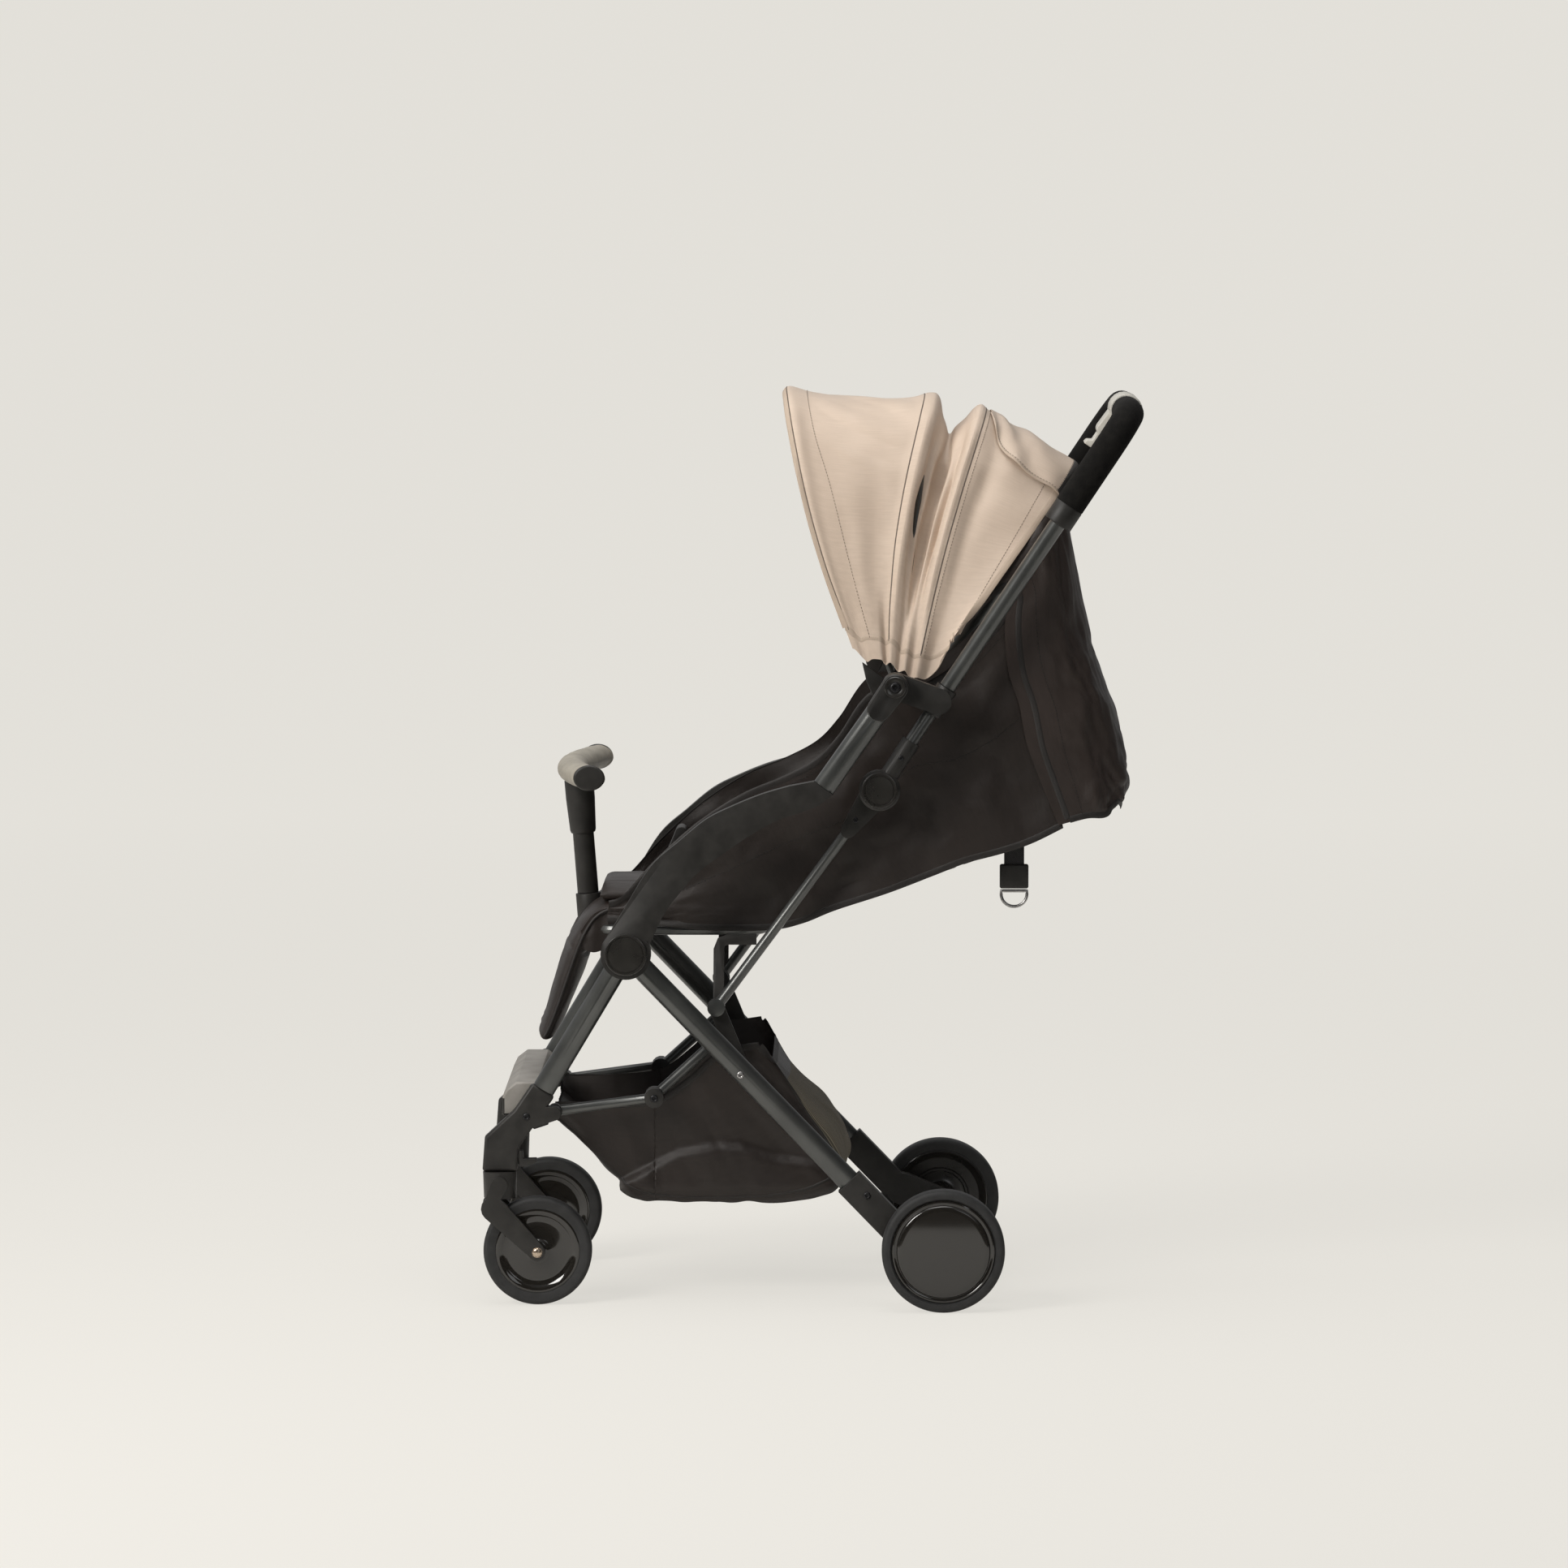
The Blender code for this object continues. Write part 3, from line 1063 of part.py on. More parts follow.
def apron_surface(u, v):
    edge = curve_through(APRON_EDGE, v)
    back = curve_through(APRON_BACK, v)
    turn = pi * u
    out = abs(sin(turn)) ** (2 / 4.0)
    x = APRON_HALF * math.copysign(abs(cos(turn)) ** (2 / 4.0), cos(turn))
    fold = 0.0035 * sin(9 * pi * u) * v * out
    return Vector((x, edge[0] + (back[0] - edge[0]) * out + fold, edge[1] + (back[1] - edge[1]) * out))


sheet("rear_apron", apron_surface, 22, 8, CLOTH, CHARCOAL, "frame")


# Recline strap with its slider, hung from the backrest, and the D-ring it is pulled by
STRAP_X = 0.0920
STRAP_DISTANCE = 0.3020
STRAP_HALF = 0.0115
STRAP_THICK = 0.0024
SLIDER_HALF = 0.0165
RING_R = 0.0018


def build_recline_strap():
    start = back_point(STRAP_DISTANCE, BACK_UNDERSIDE - TOUCH)
    y = start[0]
    low = start[1] - 0.0360
    top = start[1]
    strap = plate("recline_strap", [(y - STRAP_HALF, low), (y + STRAP_HALF, low),
                  (y + STRAP_HALF, top + STRAP_HALF * math.tan(BACK_SLOPE)),
                  (y - STRAP_HALF, top - STRAP_HALF * math.tan(BACK_SLOPE))],
                  STRAP_X - STRAP_THICK / 2, STRAP_X + STRAP_THICK / 2, WEBBING, "backrest")
    slider = plate("slider_shape", [(y - SLIDER_HALF, low - 0.0140), (y + SLIDER_HALF, low - 0.0140),
                   (y + SLIDER_HALF, low + 0.0140), (y - SLIDER_HALF, low + 0.0140)],
                   STRAP_X - 0.0040, STRAP_X + 0.0040, PLASTIC, "backrest", 0.0015)
    combine(strap, [slider])
    ring_top = low - 0.0140 - RING_R - TOUCH
    pivot("d_ring", (y, ring_top), "backrest", STRAP_X)
    half = 0.0150
    loop = [(STRAP_X, y - half, ring_top), (STRAP_X, y + half, ring_top)]
    loop += [(STRAP_X, *polar((y, ring_top - 0.0040), -pi * i / 12, half)) for i in range(13)]
    wire("d_ring", loop, RING_R, STEEL, "d_ring", cyclic=True, rings=1)


build_recline_strap()
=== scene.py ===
import json
import math
from math import cos, pi, radians, sin

import bmesh
import bpy
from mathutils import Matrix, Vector, noise

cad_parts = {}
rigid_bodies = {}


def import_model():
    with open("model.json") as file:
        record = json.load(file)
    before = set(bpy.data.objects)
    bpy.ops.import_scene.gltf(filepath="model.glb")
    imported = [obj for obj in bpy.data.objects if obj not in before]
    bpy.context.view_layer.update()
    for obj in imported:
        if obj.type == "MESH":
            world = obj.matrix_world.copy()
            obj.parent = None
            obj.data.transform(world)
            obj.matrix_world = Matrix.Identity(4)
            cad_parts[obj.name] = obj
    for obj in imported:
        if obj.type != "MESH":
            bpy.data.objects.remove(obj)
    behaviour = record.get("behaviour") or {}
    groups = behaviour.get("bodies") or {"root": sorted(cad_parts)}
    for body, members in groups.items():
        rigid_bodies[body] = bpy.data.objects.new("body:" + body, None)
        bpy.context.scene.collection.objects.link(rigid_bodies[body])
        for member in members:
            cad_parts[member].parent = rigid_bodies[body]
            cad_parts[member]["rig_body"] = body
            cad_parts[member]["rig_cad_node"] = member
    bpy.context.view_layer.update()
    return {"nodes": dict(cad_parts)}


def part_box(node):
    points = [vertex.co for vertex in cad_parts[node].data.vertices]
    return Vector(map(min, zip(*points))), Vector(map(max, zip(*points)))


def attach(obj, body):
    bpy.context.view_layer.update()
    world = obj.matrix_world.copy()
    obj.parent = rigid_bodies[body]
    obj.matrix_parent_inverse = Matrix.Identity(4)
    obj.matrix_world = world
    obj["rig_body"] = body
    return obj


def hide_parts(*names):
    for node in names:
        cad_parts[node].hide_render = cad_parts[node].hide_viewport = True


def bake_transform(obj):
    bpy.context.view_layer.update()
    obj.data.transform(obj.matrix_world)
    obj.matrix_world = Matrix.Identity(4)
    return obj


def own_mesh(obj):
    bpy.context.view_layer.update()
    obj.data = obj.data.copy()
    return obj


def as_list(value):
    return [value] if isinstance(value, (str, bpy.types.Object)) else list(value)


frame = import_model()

scene = bpy.context.scene
nodes = frame["nodes"]

# Studio: a seamless pale paper floor that runs out to the horizon, lit softly from the stroller's
# front and from above. The camera looks at its left side through a long lens, a little above its
# middle.
BACKDROP_COLOR = (0.835, 0.812, 0.765)
HORIZON_COLOR = (0.7665, 0.7455, 0.6968)
CAMERA_LENS = 178.0
CAMERA_PLACE = (8.945, 0.064, 1.373)
CAMERA_DOWN = radians(5.05)
CAMERA_YAW = radians(0.63)

camera_data = bpy.data.cameras.new("camera")
camera_data.lens = CAMERA_LENS
camera_data.sensor_width = 36.0
camera = bpy.data.objects.new("camera", camera_data)
scene.collection.objects.link(camera)
camera.location = CAMERA_PLACE
look = Vector((-cos(CAMERA_DOWN) * cos(CAMERA_YAW), -cos(CAMERA_DOWN) * sin(CAMERA_YAW),
               -sin(CAMERA_DOWN)))
camera.rotation_euler = look.to_track_quat("-Z", "Y").to_euler()
scene.camera = camera
scene.view_settings.view_transform = "Standard"

LAMP_AIM = Vector((0.0, 0.0, 0.5))
# Each softbox: its place, width, height, power and colour
SOFTBOXES = [("key_softbox", (2.3, -2.3, 2.3), 1.4, 1.4, 96.0, (1.0, 0.975, 0.94)),
             ("top_softbox", (0.2, -0.2, 3.4), 2.2, 2.2, 50.0, (1.0, 0.985, 0.96)),
             ("side_softbox", (3.6, 1.6, 1.8), 1.4, 1.2, 7.0, (0.97, 0.985, 1.0))]
for name, place, width, height, power, color in SOFTBOXES:
    lamp = bpy.data.lights.new(name, "AREA")
    lamp.shape = "RECTANGLE"
    lamp.size = width
    lamp.size_y = height
    lamp.energy = power
    lamp.color = color
    holder = bpy.data.objects.new(name, lamp)
    scene.collection.objects.link(holder)
    holder.location = place
    holder.rotation_euler = (LAMP_AIM - Vector(place)).to_track_quat("-Z", "Y").to_euler()


def add_node(owner, kind, **settings):
    """A node in a material or in the world; each setting is one of its sockets or properties."""
    node = owner.node_tree.nodes.new(kind)
    for key, value in settings.items():
        if key in node.inputs:
            node.inputs[key].default_value = value
        else:
            setattr(node, key, value)
    return node


def link(owner, source, target):
    owner.node_tree.links.new(source, target)


def map_range(owner, source, start, end, low, high):
    """Turns a value that runs from start to end into one that runs from low to high."""
    spread = add_node(owner, "ShaderNodeMapRange", **{"From Min": start, "From Max": end,
                                                      "To Min": low, "To Max": high})
    link(owner, source, spread.inputs["Value"])
    return spread.outputs["Result"]


def mix_shaders(owner, share, first, second):
    mixer = add_node(owner, "ShaderNodeMixShader")
    for source, socket in zip((share, first, second), mixer.inputs):
        link(owner, source, socket)
    return mixer.outputs[0]


# Gloss surfaces see a dark room behind the camera and a pale ceiling above the paper
ROOM_COLOR = (0.92, 0.93, 0.95)
ROOM_STRENGTH = 0.27
DARK_ROOM = 0.035
PALE_CEILING = 0.62
ROOM_SLOPE = (-0.45, -0.30, 0.80)
SLOPE_START = 0.05
SLOPE_END = 0.75
world = bpy.data.worlds.new("studio")
scene.world = world
world.use_nodes = True
room_light = world.node_tree.nodes["Background"]
room_light.inputs["Color"].default_value = (*ROOM_COLOR, 1.0)
room_light.inputs["Strength"].default_value = ROOM_STRENGTH
horizon_light = add_node(world, "ShaderNodeBackground", Color=(*HORIZON_COLOR, 1.0), Strength=1.0)
ceiling_light = add_node(world, "ShaderNodeBackground")
world_ray = add_node(world, "ShaderNodeLightPath")
slope = add_node(world, "ShaderNodeVectorMath", operation="DOT_PRODUCT")
slope.inputs[1].default_value = ROOM_SLOPE
link(world, add_node(world, "ShaderNodeTexCoord").outputs["Generated"], slope.inputs[0])
ceiling_tone = map_range(world, slope.outputs["Value"], SLOPE_START, SLOPE_END, DARK_ROOM, PALE_CEILING)
link(world, ceiling_tone, ceiling_light.inputs["Strength"])
room = mix_shaders(world, world_ray.outputs["Is Glossy Ray"], room_light.outputs[0],
                   ceiling_light.outputs[0])
backdrop = mix_shaders(world, world_ray.outputs["Is Camera Ray"], room, horizon_light.outputs[0])
link(world, backdrop, world.node_tree.nodes["World Output"].inputs["Surface"])

FLOOR_HALF = 60.0
floor_mesh = bpy.data.meshes.new("paper_floor")
floor_bm = bmesh.new()
corners = [floor_bm.verts.new((x * FLOOR_HALF, y * FLOOR_HALF, 0.0))
           for x, y in ((-1, -1), (1, -1), (1, 1), (-1, 1))]
floor_bm.faces.new(corners)
floor_bm.to_mesh(floor_mesh)
floor_bm.free()
paper_floor = bpy.data.objects.new("paper_floor", floor_mesh)
scene.collection.objects.link(paper_floor)
# The paper is lit so evenly that the camera sees hardly any shadow on it: for the camera most of
# its brightness is its own, a little more in the distance; the stroller is lit by its plain diffuse.
PAPER_GLOW_COLOR = (1.0, 0.972, 0.907)
FLOOR_GLOW = 0.655
FAR_GLOW = 0.725
GLOW_START = -0.4
GLOW_END = -5.9
SHADOW_SHARE = 0.20
# In reflections the paper past an edge in front of the stroller is painted dark: a painted
# reflection that draws a horizon in the wheels
PAINTED_SHADE_EDGE = 1.03
PAINTED_FLOOR_SHADE = (0.030, 0.027, 0.022)
paper = bpy.data.materials.new("seamless_paper")
paper.use_nodes = True
paper_shader = paper.node_tree.nodes["Principled BSDF"]
paper_shader.inputs["Base Color"].default_value = (*BACKDROP_COLOR, 1.0)
paper_shader.inputs["Roughness"].default_value = 0.9
paper_split = add_node(paper, "ShaderNodeSeparateXYZ")
link(paper, add_node(paper, "ShaderNodeTexCoord").outputs["Object"], paper_split.inputs[0])
glowing = add_node(paper, "ShaderNodeEmission", Color=(*PAPER_GLOW_COLOR, 1.0))
paper_glow = map_range(paper, paper_split.outputs["X"], GLOW_START, GLOW_END, FLOOR_GLOW, FAR_GLOW)
link(paper, paper_glow, glowing.inputs["Strength"])
shadow_color = (*(SHADOW_SHARE * value for value in BACKDROP_COLOR), 1.0)
shaded = add_node(paper, "ShaderNodeBsdfDiffuse", Color=shadow_color)
paper_sum = add_node(paper, "ShaderNodeAddShader")
link(paper, glowing.outputs[0], paper_sum.inputs[0])
link(paper, shaded.outputs[0], paper_sum.inputs[1])
paper_ray = add_node(paper, "ShaderNodeLightPath")
# Painted reflection: glossy rays see the paper past the edge in the painted floor shade
past_edge = add_node(paper, "ShaderNodeMath", operation="GREATER_THAN")
past_edge.inputs[1].default_value = PAINTED_SHADE_EDGE
painted_shade_share = add_node(paper, "ShaderNodeMath", operation="MULTIPLY")
paper_tone = add_node(paper, "ShaderNodeMixRGB", Color1=(*BACKDROP_COLOR, 1.0),
                      Color2=(*PAINTED_FLOOR_SHADE, 1.0))
link(paper, paper_split.outputs["X"], past_edge.inputs[0])
link(paper, past_edge.outputs[0], painted_shade_share.inputs[0])
link(paper, paper_ray.outputs["Is Glossy Ray"], painted_shade_share.inputs[1])
link(paper, painted_shade_share.outputs[0], paper_tone.inputs["Fac"])
link(paper, paper_tone.outputs[0], paper_shader.inputs["Base Color"])
paper_look = mix_shaders(paper, paper_ray.outputs["Is Camera Ray"], paper_shader.outputs[0],
                         paper_sum.outputs[0])
link(paper, paper_look, paper.node_tree.nodes["Material Output"].inputs["Surface"])
paper_floor.data.materials.append(paper)

# Frame tubes: aluminium tube with a satin gunmetal powder coat. The oval legs and rails, the round
# handle tubes, struts, links and the seat's loop are cut to length and pressed into the mouldings.
SIDES = {"left": 1, "right": -1}


def new_finish(name, color, roughness, metallic=0.0):
    """A material and its shader."""
    finish = bpy.data.materials.new(name)
    finish.use_nodes = True
    shader = finish.node_tree.nodes["Principled BSDF"]
    shader.inputs["Base Color"].default_value = (*color, 1.0)
    shader.inputs["Roughness"].default_value = roughness
    shader.inputs["Metallic"].default_value = metallic
    return finish, shader


def noise_on(finish, scale, detail=3.0, stretch=(1.0, 1.0, 1.0), where=None):
    """Noise on the piece's own coordinates, in waves per metre; stretch squeezes them."""
    coordinates = where
    if coordinates is None:
        coordinates = add_node(finish, "ShaderNodeTexCoord").outputs["Object"]
    mapping = add_node(finish, "ShaderNodeMapping")
    mapping.inputs["Scale"].default_value = stretch
    link(finish, coordinates, mapping.inputs["Vector"])
    waves = add_node(finish, "ShaderNodeTexNoise", Scale=scale, Detail=detail)
    link(finish, mapping.outputs["Vector"], waves.inputs["Vector"])
    return waves


def vary_color(finish, shader, factor, dark, light):
    """The base colour runs from dark to light with the factor."""
    ramp = add_node(finish, "ShaderNodeValToRGB")
    ramp.color_ramp.elements[0].position = 0.32
    ramp.color_ramp.elements[1].position = 0.70
    ramp.color_ramp.elements[0].color = (*dark, 1.0)
    ramp.color_ramp.elements[1].color = (*light, 1.0)
    link(finish, factor, ramp.inputs["Fac"])
    link(finish, ramp.outputs["Color"], shader.inputs["Base Color"])


def vary_roughness(finish, shader, factor, low, high):
    link(finish, map_range(finish, factor, 0.0, 1.0, low, high), shader.inputs["Roughness"])


def add_bump(finish, shader, height, strength, distance, under=None):
    bump = add_node(finish, "ShaderNodeBump", Strength=strength, Distance=distance)
    link(finish, height, bump.inputs["Height"])
    if under:
        link(finish, under.outputs["Normal"], bump.inputs["Normal"])
    link(finish, bump.outputs["Normal"], shader.inputs["Normal"])
    return bump


def cells_on(finish, scale):
    """Small cells over the piece, as in moulded grain, foam and leather."""
    cells = add_node(finish, "ShaderNodeTexVoronoi", Scale=scale)
    link(finish, add_node(finish, "ShaderNodeTexCoord").outputs["Object"], cells.inputs["Vector"])
    return cells.outputs["Distance"]


def mottled(name, color, roughness, metallic, cloud, tones=None, gloss=None, grain=None, **levels):
    """A finish whose colour and gloss drift with soft noise, over a fine grain of noise or cells.

    cloud is the noise's scale, detail and stretch; tones the two colours, gloss the two
    roughnesses; grain the scale, detail, strength and depth of the bump, with detail 0 for cells.
    """
    finish, shader = new_finish(name, color, roughness, metallic)
    drift = noise_on(finish, *cloud).outputs["Fac"]
    if tones:
        vary_color(finish, shader, drift, *tones)
    if gloss:
        vary_roughness(finish, shader, drift, *gloss)
    if grain:
        scale, detail, strength, depth = grain
        fine = noise_on(finish, scale, detail).outputs["Fac"] if detail else cells_on(finish, scale)
        add_bump(finish, shader, fine, strength, depth)
    for level, value in levels.items():
        shader.inputs[level.replace("_", " ")].default_value = value
    return finish


powder_coat = mottled("gunmetal_powder_coat", (0.055, 0.061, 0.065), 0.36, 0.65, (22.0, 4.0),
                      ((0.064, 0.066, 0.064), (0.090, 0.093, 0.089)), (0.30, 0.42),
                      (2600.0, 2.0, 0.10, 0.0002), Coat_Weight=0.55, Coat_Roughness=0.20)


def start_clean():
    """Nothing selected and nothing in edit mode, before an operator acts."""
    if bpy.context.mode != "OBJECT":
        bpy.ops.object.mode_set(mode="OBJECT")
    bpy.ops.object.select_all(action="DESELECT")


def take(piece):
    start_clean()
    piece.select_set(True)
    bpy.context.view_layer.objects.active = piece


def finish_modifiers(piece):
    take(piece)
    for modifier in list(piece.modifiers):
        bpy.ops.object.modifier_apply(modifier=modifier.name)


def edit_all(*steps):
    """Runs the steps of an edit, each on the whole of the active piece."""
    bpy.ops.object.mode_set(mode="EDIT")
    for step in steps:
        bpy.ops.mesh.select_all(action="SELECT")
        step()
    bpy.ops.object.mode_set(mode="OBJECT")


def merge_points(threshold=0.00002):
    bpy.ops.mesh.remove_doubles(threshold=threshold)


def face_outward():
    bpy.ops.mesh.normals_make_consistent(inside=False)


def round_edges(piece, width, segments, angle):
    """Rounds over every edge that is sharper than an angle."""
    bevel = piece.modifiers.new("soft_edge", "BEVEL")
    bevel.width = width
    bevel.segments = segments
    bevel.limit_method = "ANGLE"
    bevel.angle_limit = radians(angle)
    finish_modifiers(piece)


def dressed(piece, finish, body, angle=34.0):
    """Smooths a piece up to an angle, gives it its finish, and lets it go with its body.

    Where body is a tuple, it is not used: the piece keeps its place, baked into its mesh.
    """
    if angle:
        bpy.ops.object.shade_smooth_by_angle(angle=radians(angle))
    piece.data.materials.append(finish)
    if isinstance(body, str):
        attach(piece, body)
    else:
        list(body)
        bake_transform(piece)
    return piece


def copied(node, name):
    """A copy of one of the part's own solids, without its node's marks."""
    take(nodes[node])
    nodes[node].hide_viewport = False
    bpy.ops.object.duplicate()
    piece = bpy.context.view_layer.objects.active
    piece.name = name
    piece.parent = None
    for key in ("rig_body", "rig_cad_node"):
        if key in piece:
            del piece[key]
    piece.data.materials.clear()
    return piece


def softened(node, name, finish, edge=0.0008, segments=2, angle=34.0):
    """The moulded or welded piece itself: its shape with every hard edge rounded over."""
    piece = copied(node, name)
    edit_all(merge_points, lambda: bpy.ops.mesh.dissolve_limited(angle_limit=radians(1.0)))
    round_edges(piece, edge, segments, angle)
    dressed(piece, finish, nodes[node]["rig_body"], angle)
    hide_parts(node)
    return piece


TUBE_NODES = ["upper_rail", "rear_leg", "front_leg", "handle_tube", "handle_lower", "strut",
              "basket_front_link", "basket_rear_link"]
for word in TUBE_NODES:
    for side in SIDES:
        softened(f"{word}_{side}", f"{word}_{side}_coated", powder_coat)
for word in ("rear_axle", "seat_frame", "canopy_hoop_front", "canopy_hoop_middle",
             "canopy_hoop_rear"):
    softened(word, f"{word}_coated", powder_coat)


def repaint(piece, finish, belongs):
    """Gives a second finish to the faces that belong to another part of the same moulding."""
    piece.data.materials.append(finish)
    last = len(piece.data.materials) - 1
    for face in piece.data.polygons:
        if belongs(face.center):
            face.material_index = last


def side_distance(point, start, end):
    """How far a point lies from a line seen from the side, and how far along it, from 0 to 1."""
    way = Vector(end) - Vector(start)
    seen = Vector((point.y, point.z)) - Vector(start)
    share = seen.dot(way) / way.length_squared
    return (seen - way * share).length, share


def away_from(point, centre):
    """How far a point lies from a pivot in side view."""
    return (Vector((point.y, point.z)) - Vector(centre)).length


# Mouldings: glass-filled nylon with a fine matt grain. The brackets, sockets, forks and links are
# injection moulded, pinned or screwed to the tube ends, with all edges rounded over.
TOP_HUB = (0.0936, 0.7104)
HUB = (-0.2116, 0.4064)
KNEE = (0.0761, 0.5913)
STRUT_FOOT = (-0.1101, 0.3400)
LINK_PIVOT = (-0.1812, 0.2352)
LINK_FRONT = (-0.2947, 0.2198)
HANDLE_TOP = (0.3590, 1.0165)
HANDLE_SLOPE = radians(56.3)
HANDLE_X = 0.1720
GRIP_LENGTH = 0.1230

nylon = mottled("moulded_nylon", (0.020, 0.020, 0.021), 0.5, 0.0, (60.0, 3.0),
                ((0.0145, 0.0135, 0.0120), (0.0235, 0.0218, 0.0195)), (0.40, 0.52),
                (1500.0, 0, 0.18, 0.0002), Specular_IOR_Level=0.38)

for word in ("rear_bracket", "caster_socket", "handle_bracket", "lower_link"):
    for side in SIDES:
        softened(f"{word}_{side}", f"{word}_{side}_moulding", nylon, 0.0016, 3)
for side in SIDES:
    softened(f"caster_fork_{side}", f"caster_fork_{side}_moulding", nylon, 0.0018, 3)
    softened(f"swivel_lock_{side}", f"swivel_lock_{side}_moulding", nylon, 0.0009, 3)
softened("brake_pedal", "brake_pedal_moulding", nylon, 0.0018, 3)

for side in SIDES:
    strut = bpy.data.objects[f"strut_{side}_coated"]
    repaint(strut, nylon, lambda spot: side_distance(spot, STRUT_FOOT, KNEE)[0] > 0.0068
            or side_distance(spot, STRUT_FOOT, KNEE)[1] > 0.72)
    rail = bpy.data.objects[f"upper_rail_{side}_coated"]
    repaint(rail, nylon, lambda spot: away_from(spot, TOP_HUB) < 0.0420)
    lower = bpy.data.objects[f"handle_lower_{side}_coated"]
    repaint(lower, nylon, lambda spot: away_from(spot, KNEE) < 0.0690)
    tube = bpy.data.objects[f"handle_tube_{side}_coated"]
    repaint(tube, nylon, lambda spot: away_from(spot, HANDLE_TOP) < 0.1495)
    for word in ("rear", "front"):
        basket_link = bpy.data.objects[f"basket_{word}_link_{side}_coated"]
        repaint(basket_link, nylon, lambda spot: away_from(spot, LINK_PIVOT) < 0.0125
                or away_from(spot, LINK_FRONT) < 0.0095)
repaint(bpy.data.objects["seat_frame_coated"], nylon,
        lambda spot: abs(spot.x) < 0.016 and spot.z > 0.4320)

# Armrests: one long curved moulding a side, from the round hub boss up to the sleeve on the oval
# rail. The edges are rounded over by hand-sized radii, which is what catches the light.
ARMREST_UPPER = [(-0.2381, 0.4179), (-0.2300, 0.4309), (-0.2152, 0.4550), (-0.1838, 0.5059),
                 (-0.1520, 0.5346), (-0.1202, 0.5606), (-0.0889, 0.5763), (-0.0567, 0.5893),
                 (-0.0254, 0.5985)]
ARMREST_LOWER = [(0.0068, 0.5764), (-0.0093, 0.5699), (-0.0410, 0.5588), (-0.0723, 0.5412),
                 (-0.1046, 0.5190), (-0.1295, 0.5000), (-0.1521, 0.4745), (-0.1682, 0.4522),
                 (-0.1836, 0.4198)]
ARMREST_BOSS = 0.0286
RAIL_START = (0.0128, 0.5962)
RAIL_END = (0.0774, 0.6877)
RAIL_WIDE = 0.0262
ARMREST_INNER = 0.1920
ARMREST_OUTER = 0.2100
ARMREST_EDGE = 0.0046


def polar(centre, angle, distance):
    return (centre[0] + distance * cos(angle), centre[1] + distance * sin(angle))


def curve_through(points, t):
    """A smooth curve through points, t from 0 to 1."""
    spans = len(points) - 1
    k = min(int(t * spans), spans - 1)
    f = t * spans - k
    p0, p1 = points[max(k - 1, 0)], points[k]
    p2, p3 = points[k + 1], points[min(k + 2, spans)]
    out = []
    for a, b, c, d in zip(p0, p1, p2, p3):
        bend = (2 * a - 5 * b + 4 * c - d) * f * f + (3 * b - a - 3 * c + d) * f**3
        out.append(0.5 * (2 * b + (c - a) * f + bend))
    return tuple(out)


def moulding(name, outline, inner, outer, finish, body, edge, segments=4):
    """A side outline carried across the width from one x to another, its edges rounded over."""
    x_low, x_high = sorted((inner, outer))
    start_clean()
    bpy.ops.mesh.primitive_circle_add(vertices=len(outline), radius=1.0, fill_type="NGON")
    piece = bpy.context.view_layer.objects.active
    piece.name = name
    for vertex, (y, z) in zip(piece.data.vertices, outline):
        vertex.co = (x_low, y, z)
    edit_all(lambda: bpy.ops.mesh.extrude_region_move(
        TRANSFORM_OT_translate={"value": (x_high - x_low, 0.0, 0.0)}), face_outward)
    round_edges(piece, edge, segments, 50)
    return dressed(piece, finish, body)


rise = math.atan2(RAIL_END[1] - RAIL_START[1], RAIL_END[0] - RAIL_START[0])
armrest_outline = [polar(HUB, radians(145 + 250 * i / 30), ARMREST_BOSS) for i in range(31)]
armrest_outline += [curve_through(ARMREST_LOWER[::-1], i / 40) for i in range(41)]
armrest_outline.append(polar(RAIL_START, rise - pi / 2, RAIL_WIDE / 2))
armrest_outline.append(polar(RAIL_START, rise + pi / 2, RAIL_WIDE / 2))
armrest_outline += [curve_through(ARMREST_UPPER[::-1], i / 40) for i in range(41)]
for side, s in SIDES.items():
    armrest = moulding(f"armrest_{side}_moulding", armrest_outline, s * ARMREST_INNER,
                       s * ARMREST_OUTER, nylon, "frame", ARMREST_EDGE)
    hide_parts(f"armrest_{side}")

# Pivot covers and fasteners: pressed-in satin discs over the hub and the knee, and screws with a
# hexagon socket, black or zinc-plated, that hold the brackets to the tubes.
CAP_R = 0.0240
CAP_FACE = 0.2103
CAP_HIGH = 0.0050
KNEE_FACE = 0.1820
KNEE_CAP_R = 0.0205
KNEE_CAP_HIGH = 0.0026


def turned(name, points, centre, axis, finish, body, steps, angle=34.0):
    """A turned piece: the points of its section spun about a line."""
    start_clean()
    bpy.ops.mesh.primitive_circle_add(vertices=len(points), radius=1.0, fill_type="NOTHING")
    piece = bpy.context.view_layer.objects.active
    piece.name = name
    for vertex, point in zip(piece.data.vertices, points):
        vertex.co = point
    edit_all(lambda: bpy.ops.mesh.spin(steps=steps, angle=2 * pi, center=centre, axis=axis),
             merge_points, lambda: bpy.ops.mesh.dissolve_degenerate(threshold=0.00001), face_outward)
    return dressed(piece, finish, body, angle)


def spun(name, section, centre, finish, body, steps=72, angle=34.0):
    """A piece turned about an axle across the stroller: its section is given as (x, radius)."""
    points = [(x, centre[0], centre[1] + radius) for x, radius in section]
    return turned(name, points, (0.0, *centre), (1.0, 0.0, 0.0), finish, body, steps, angle)


def mirrored(section, s):
    """The same section for the stroller's other side."""
    return [(s * x, radius) for x, radius in section]


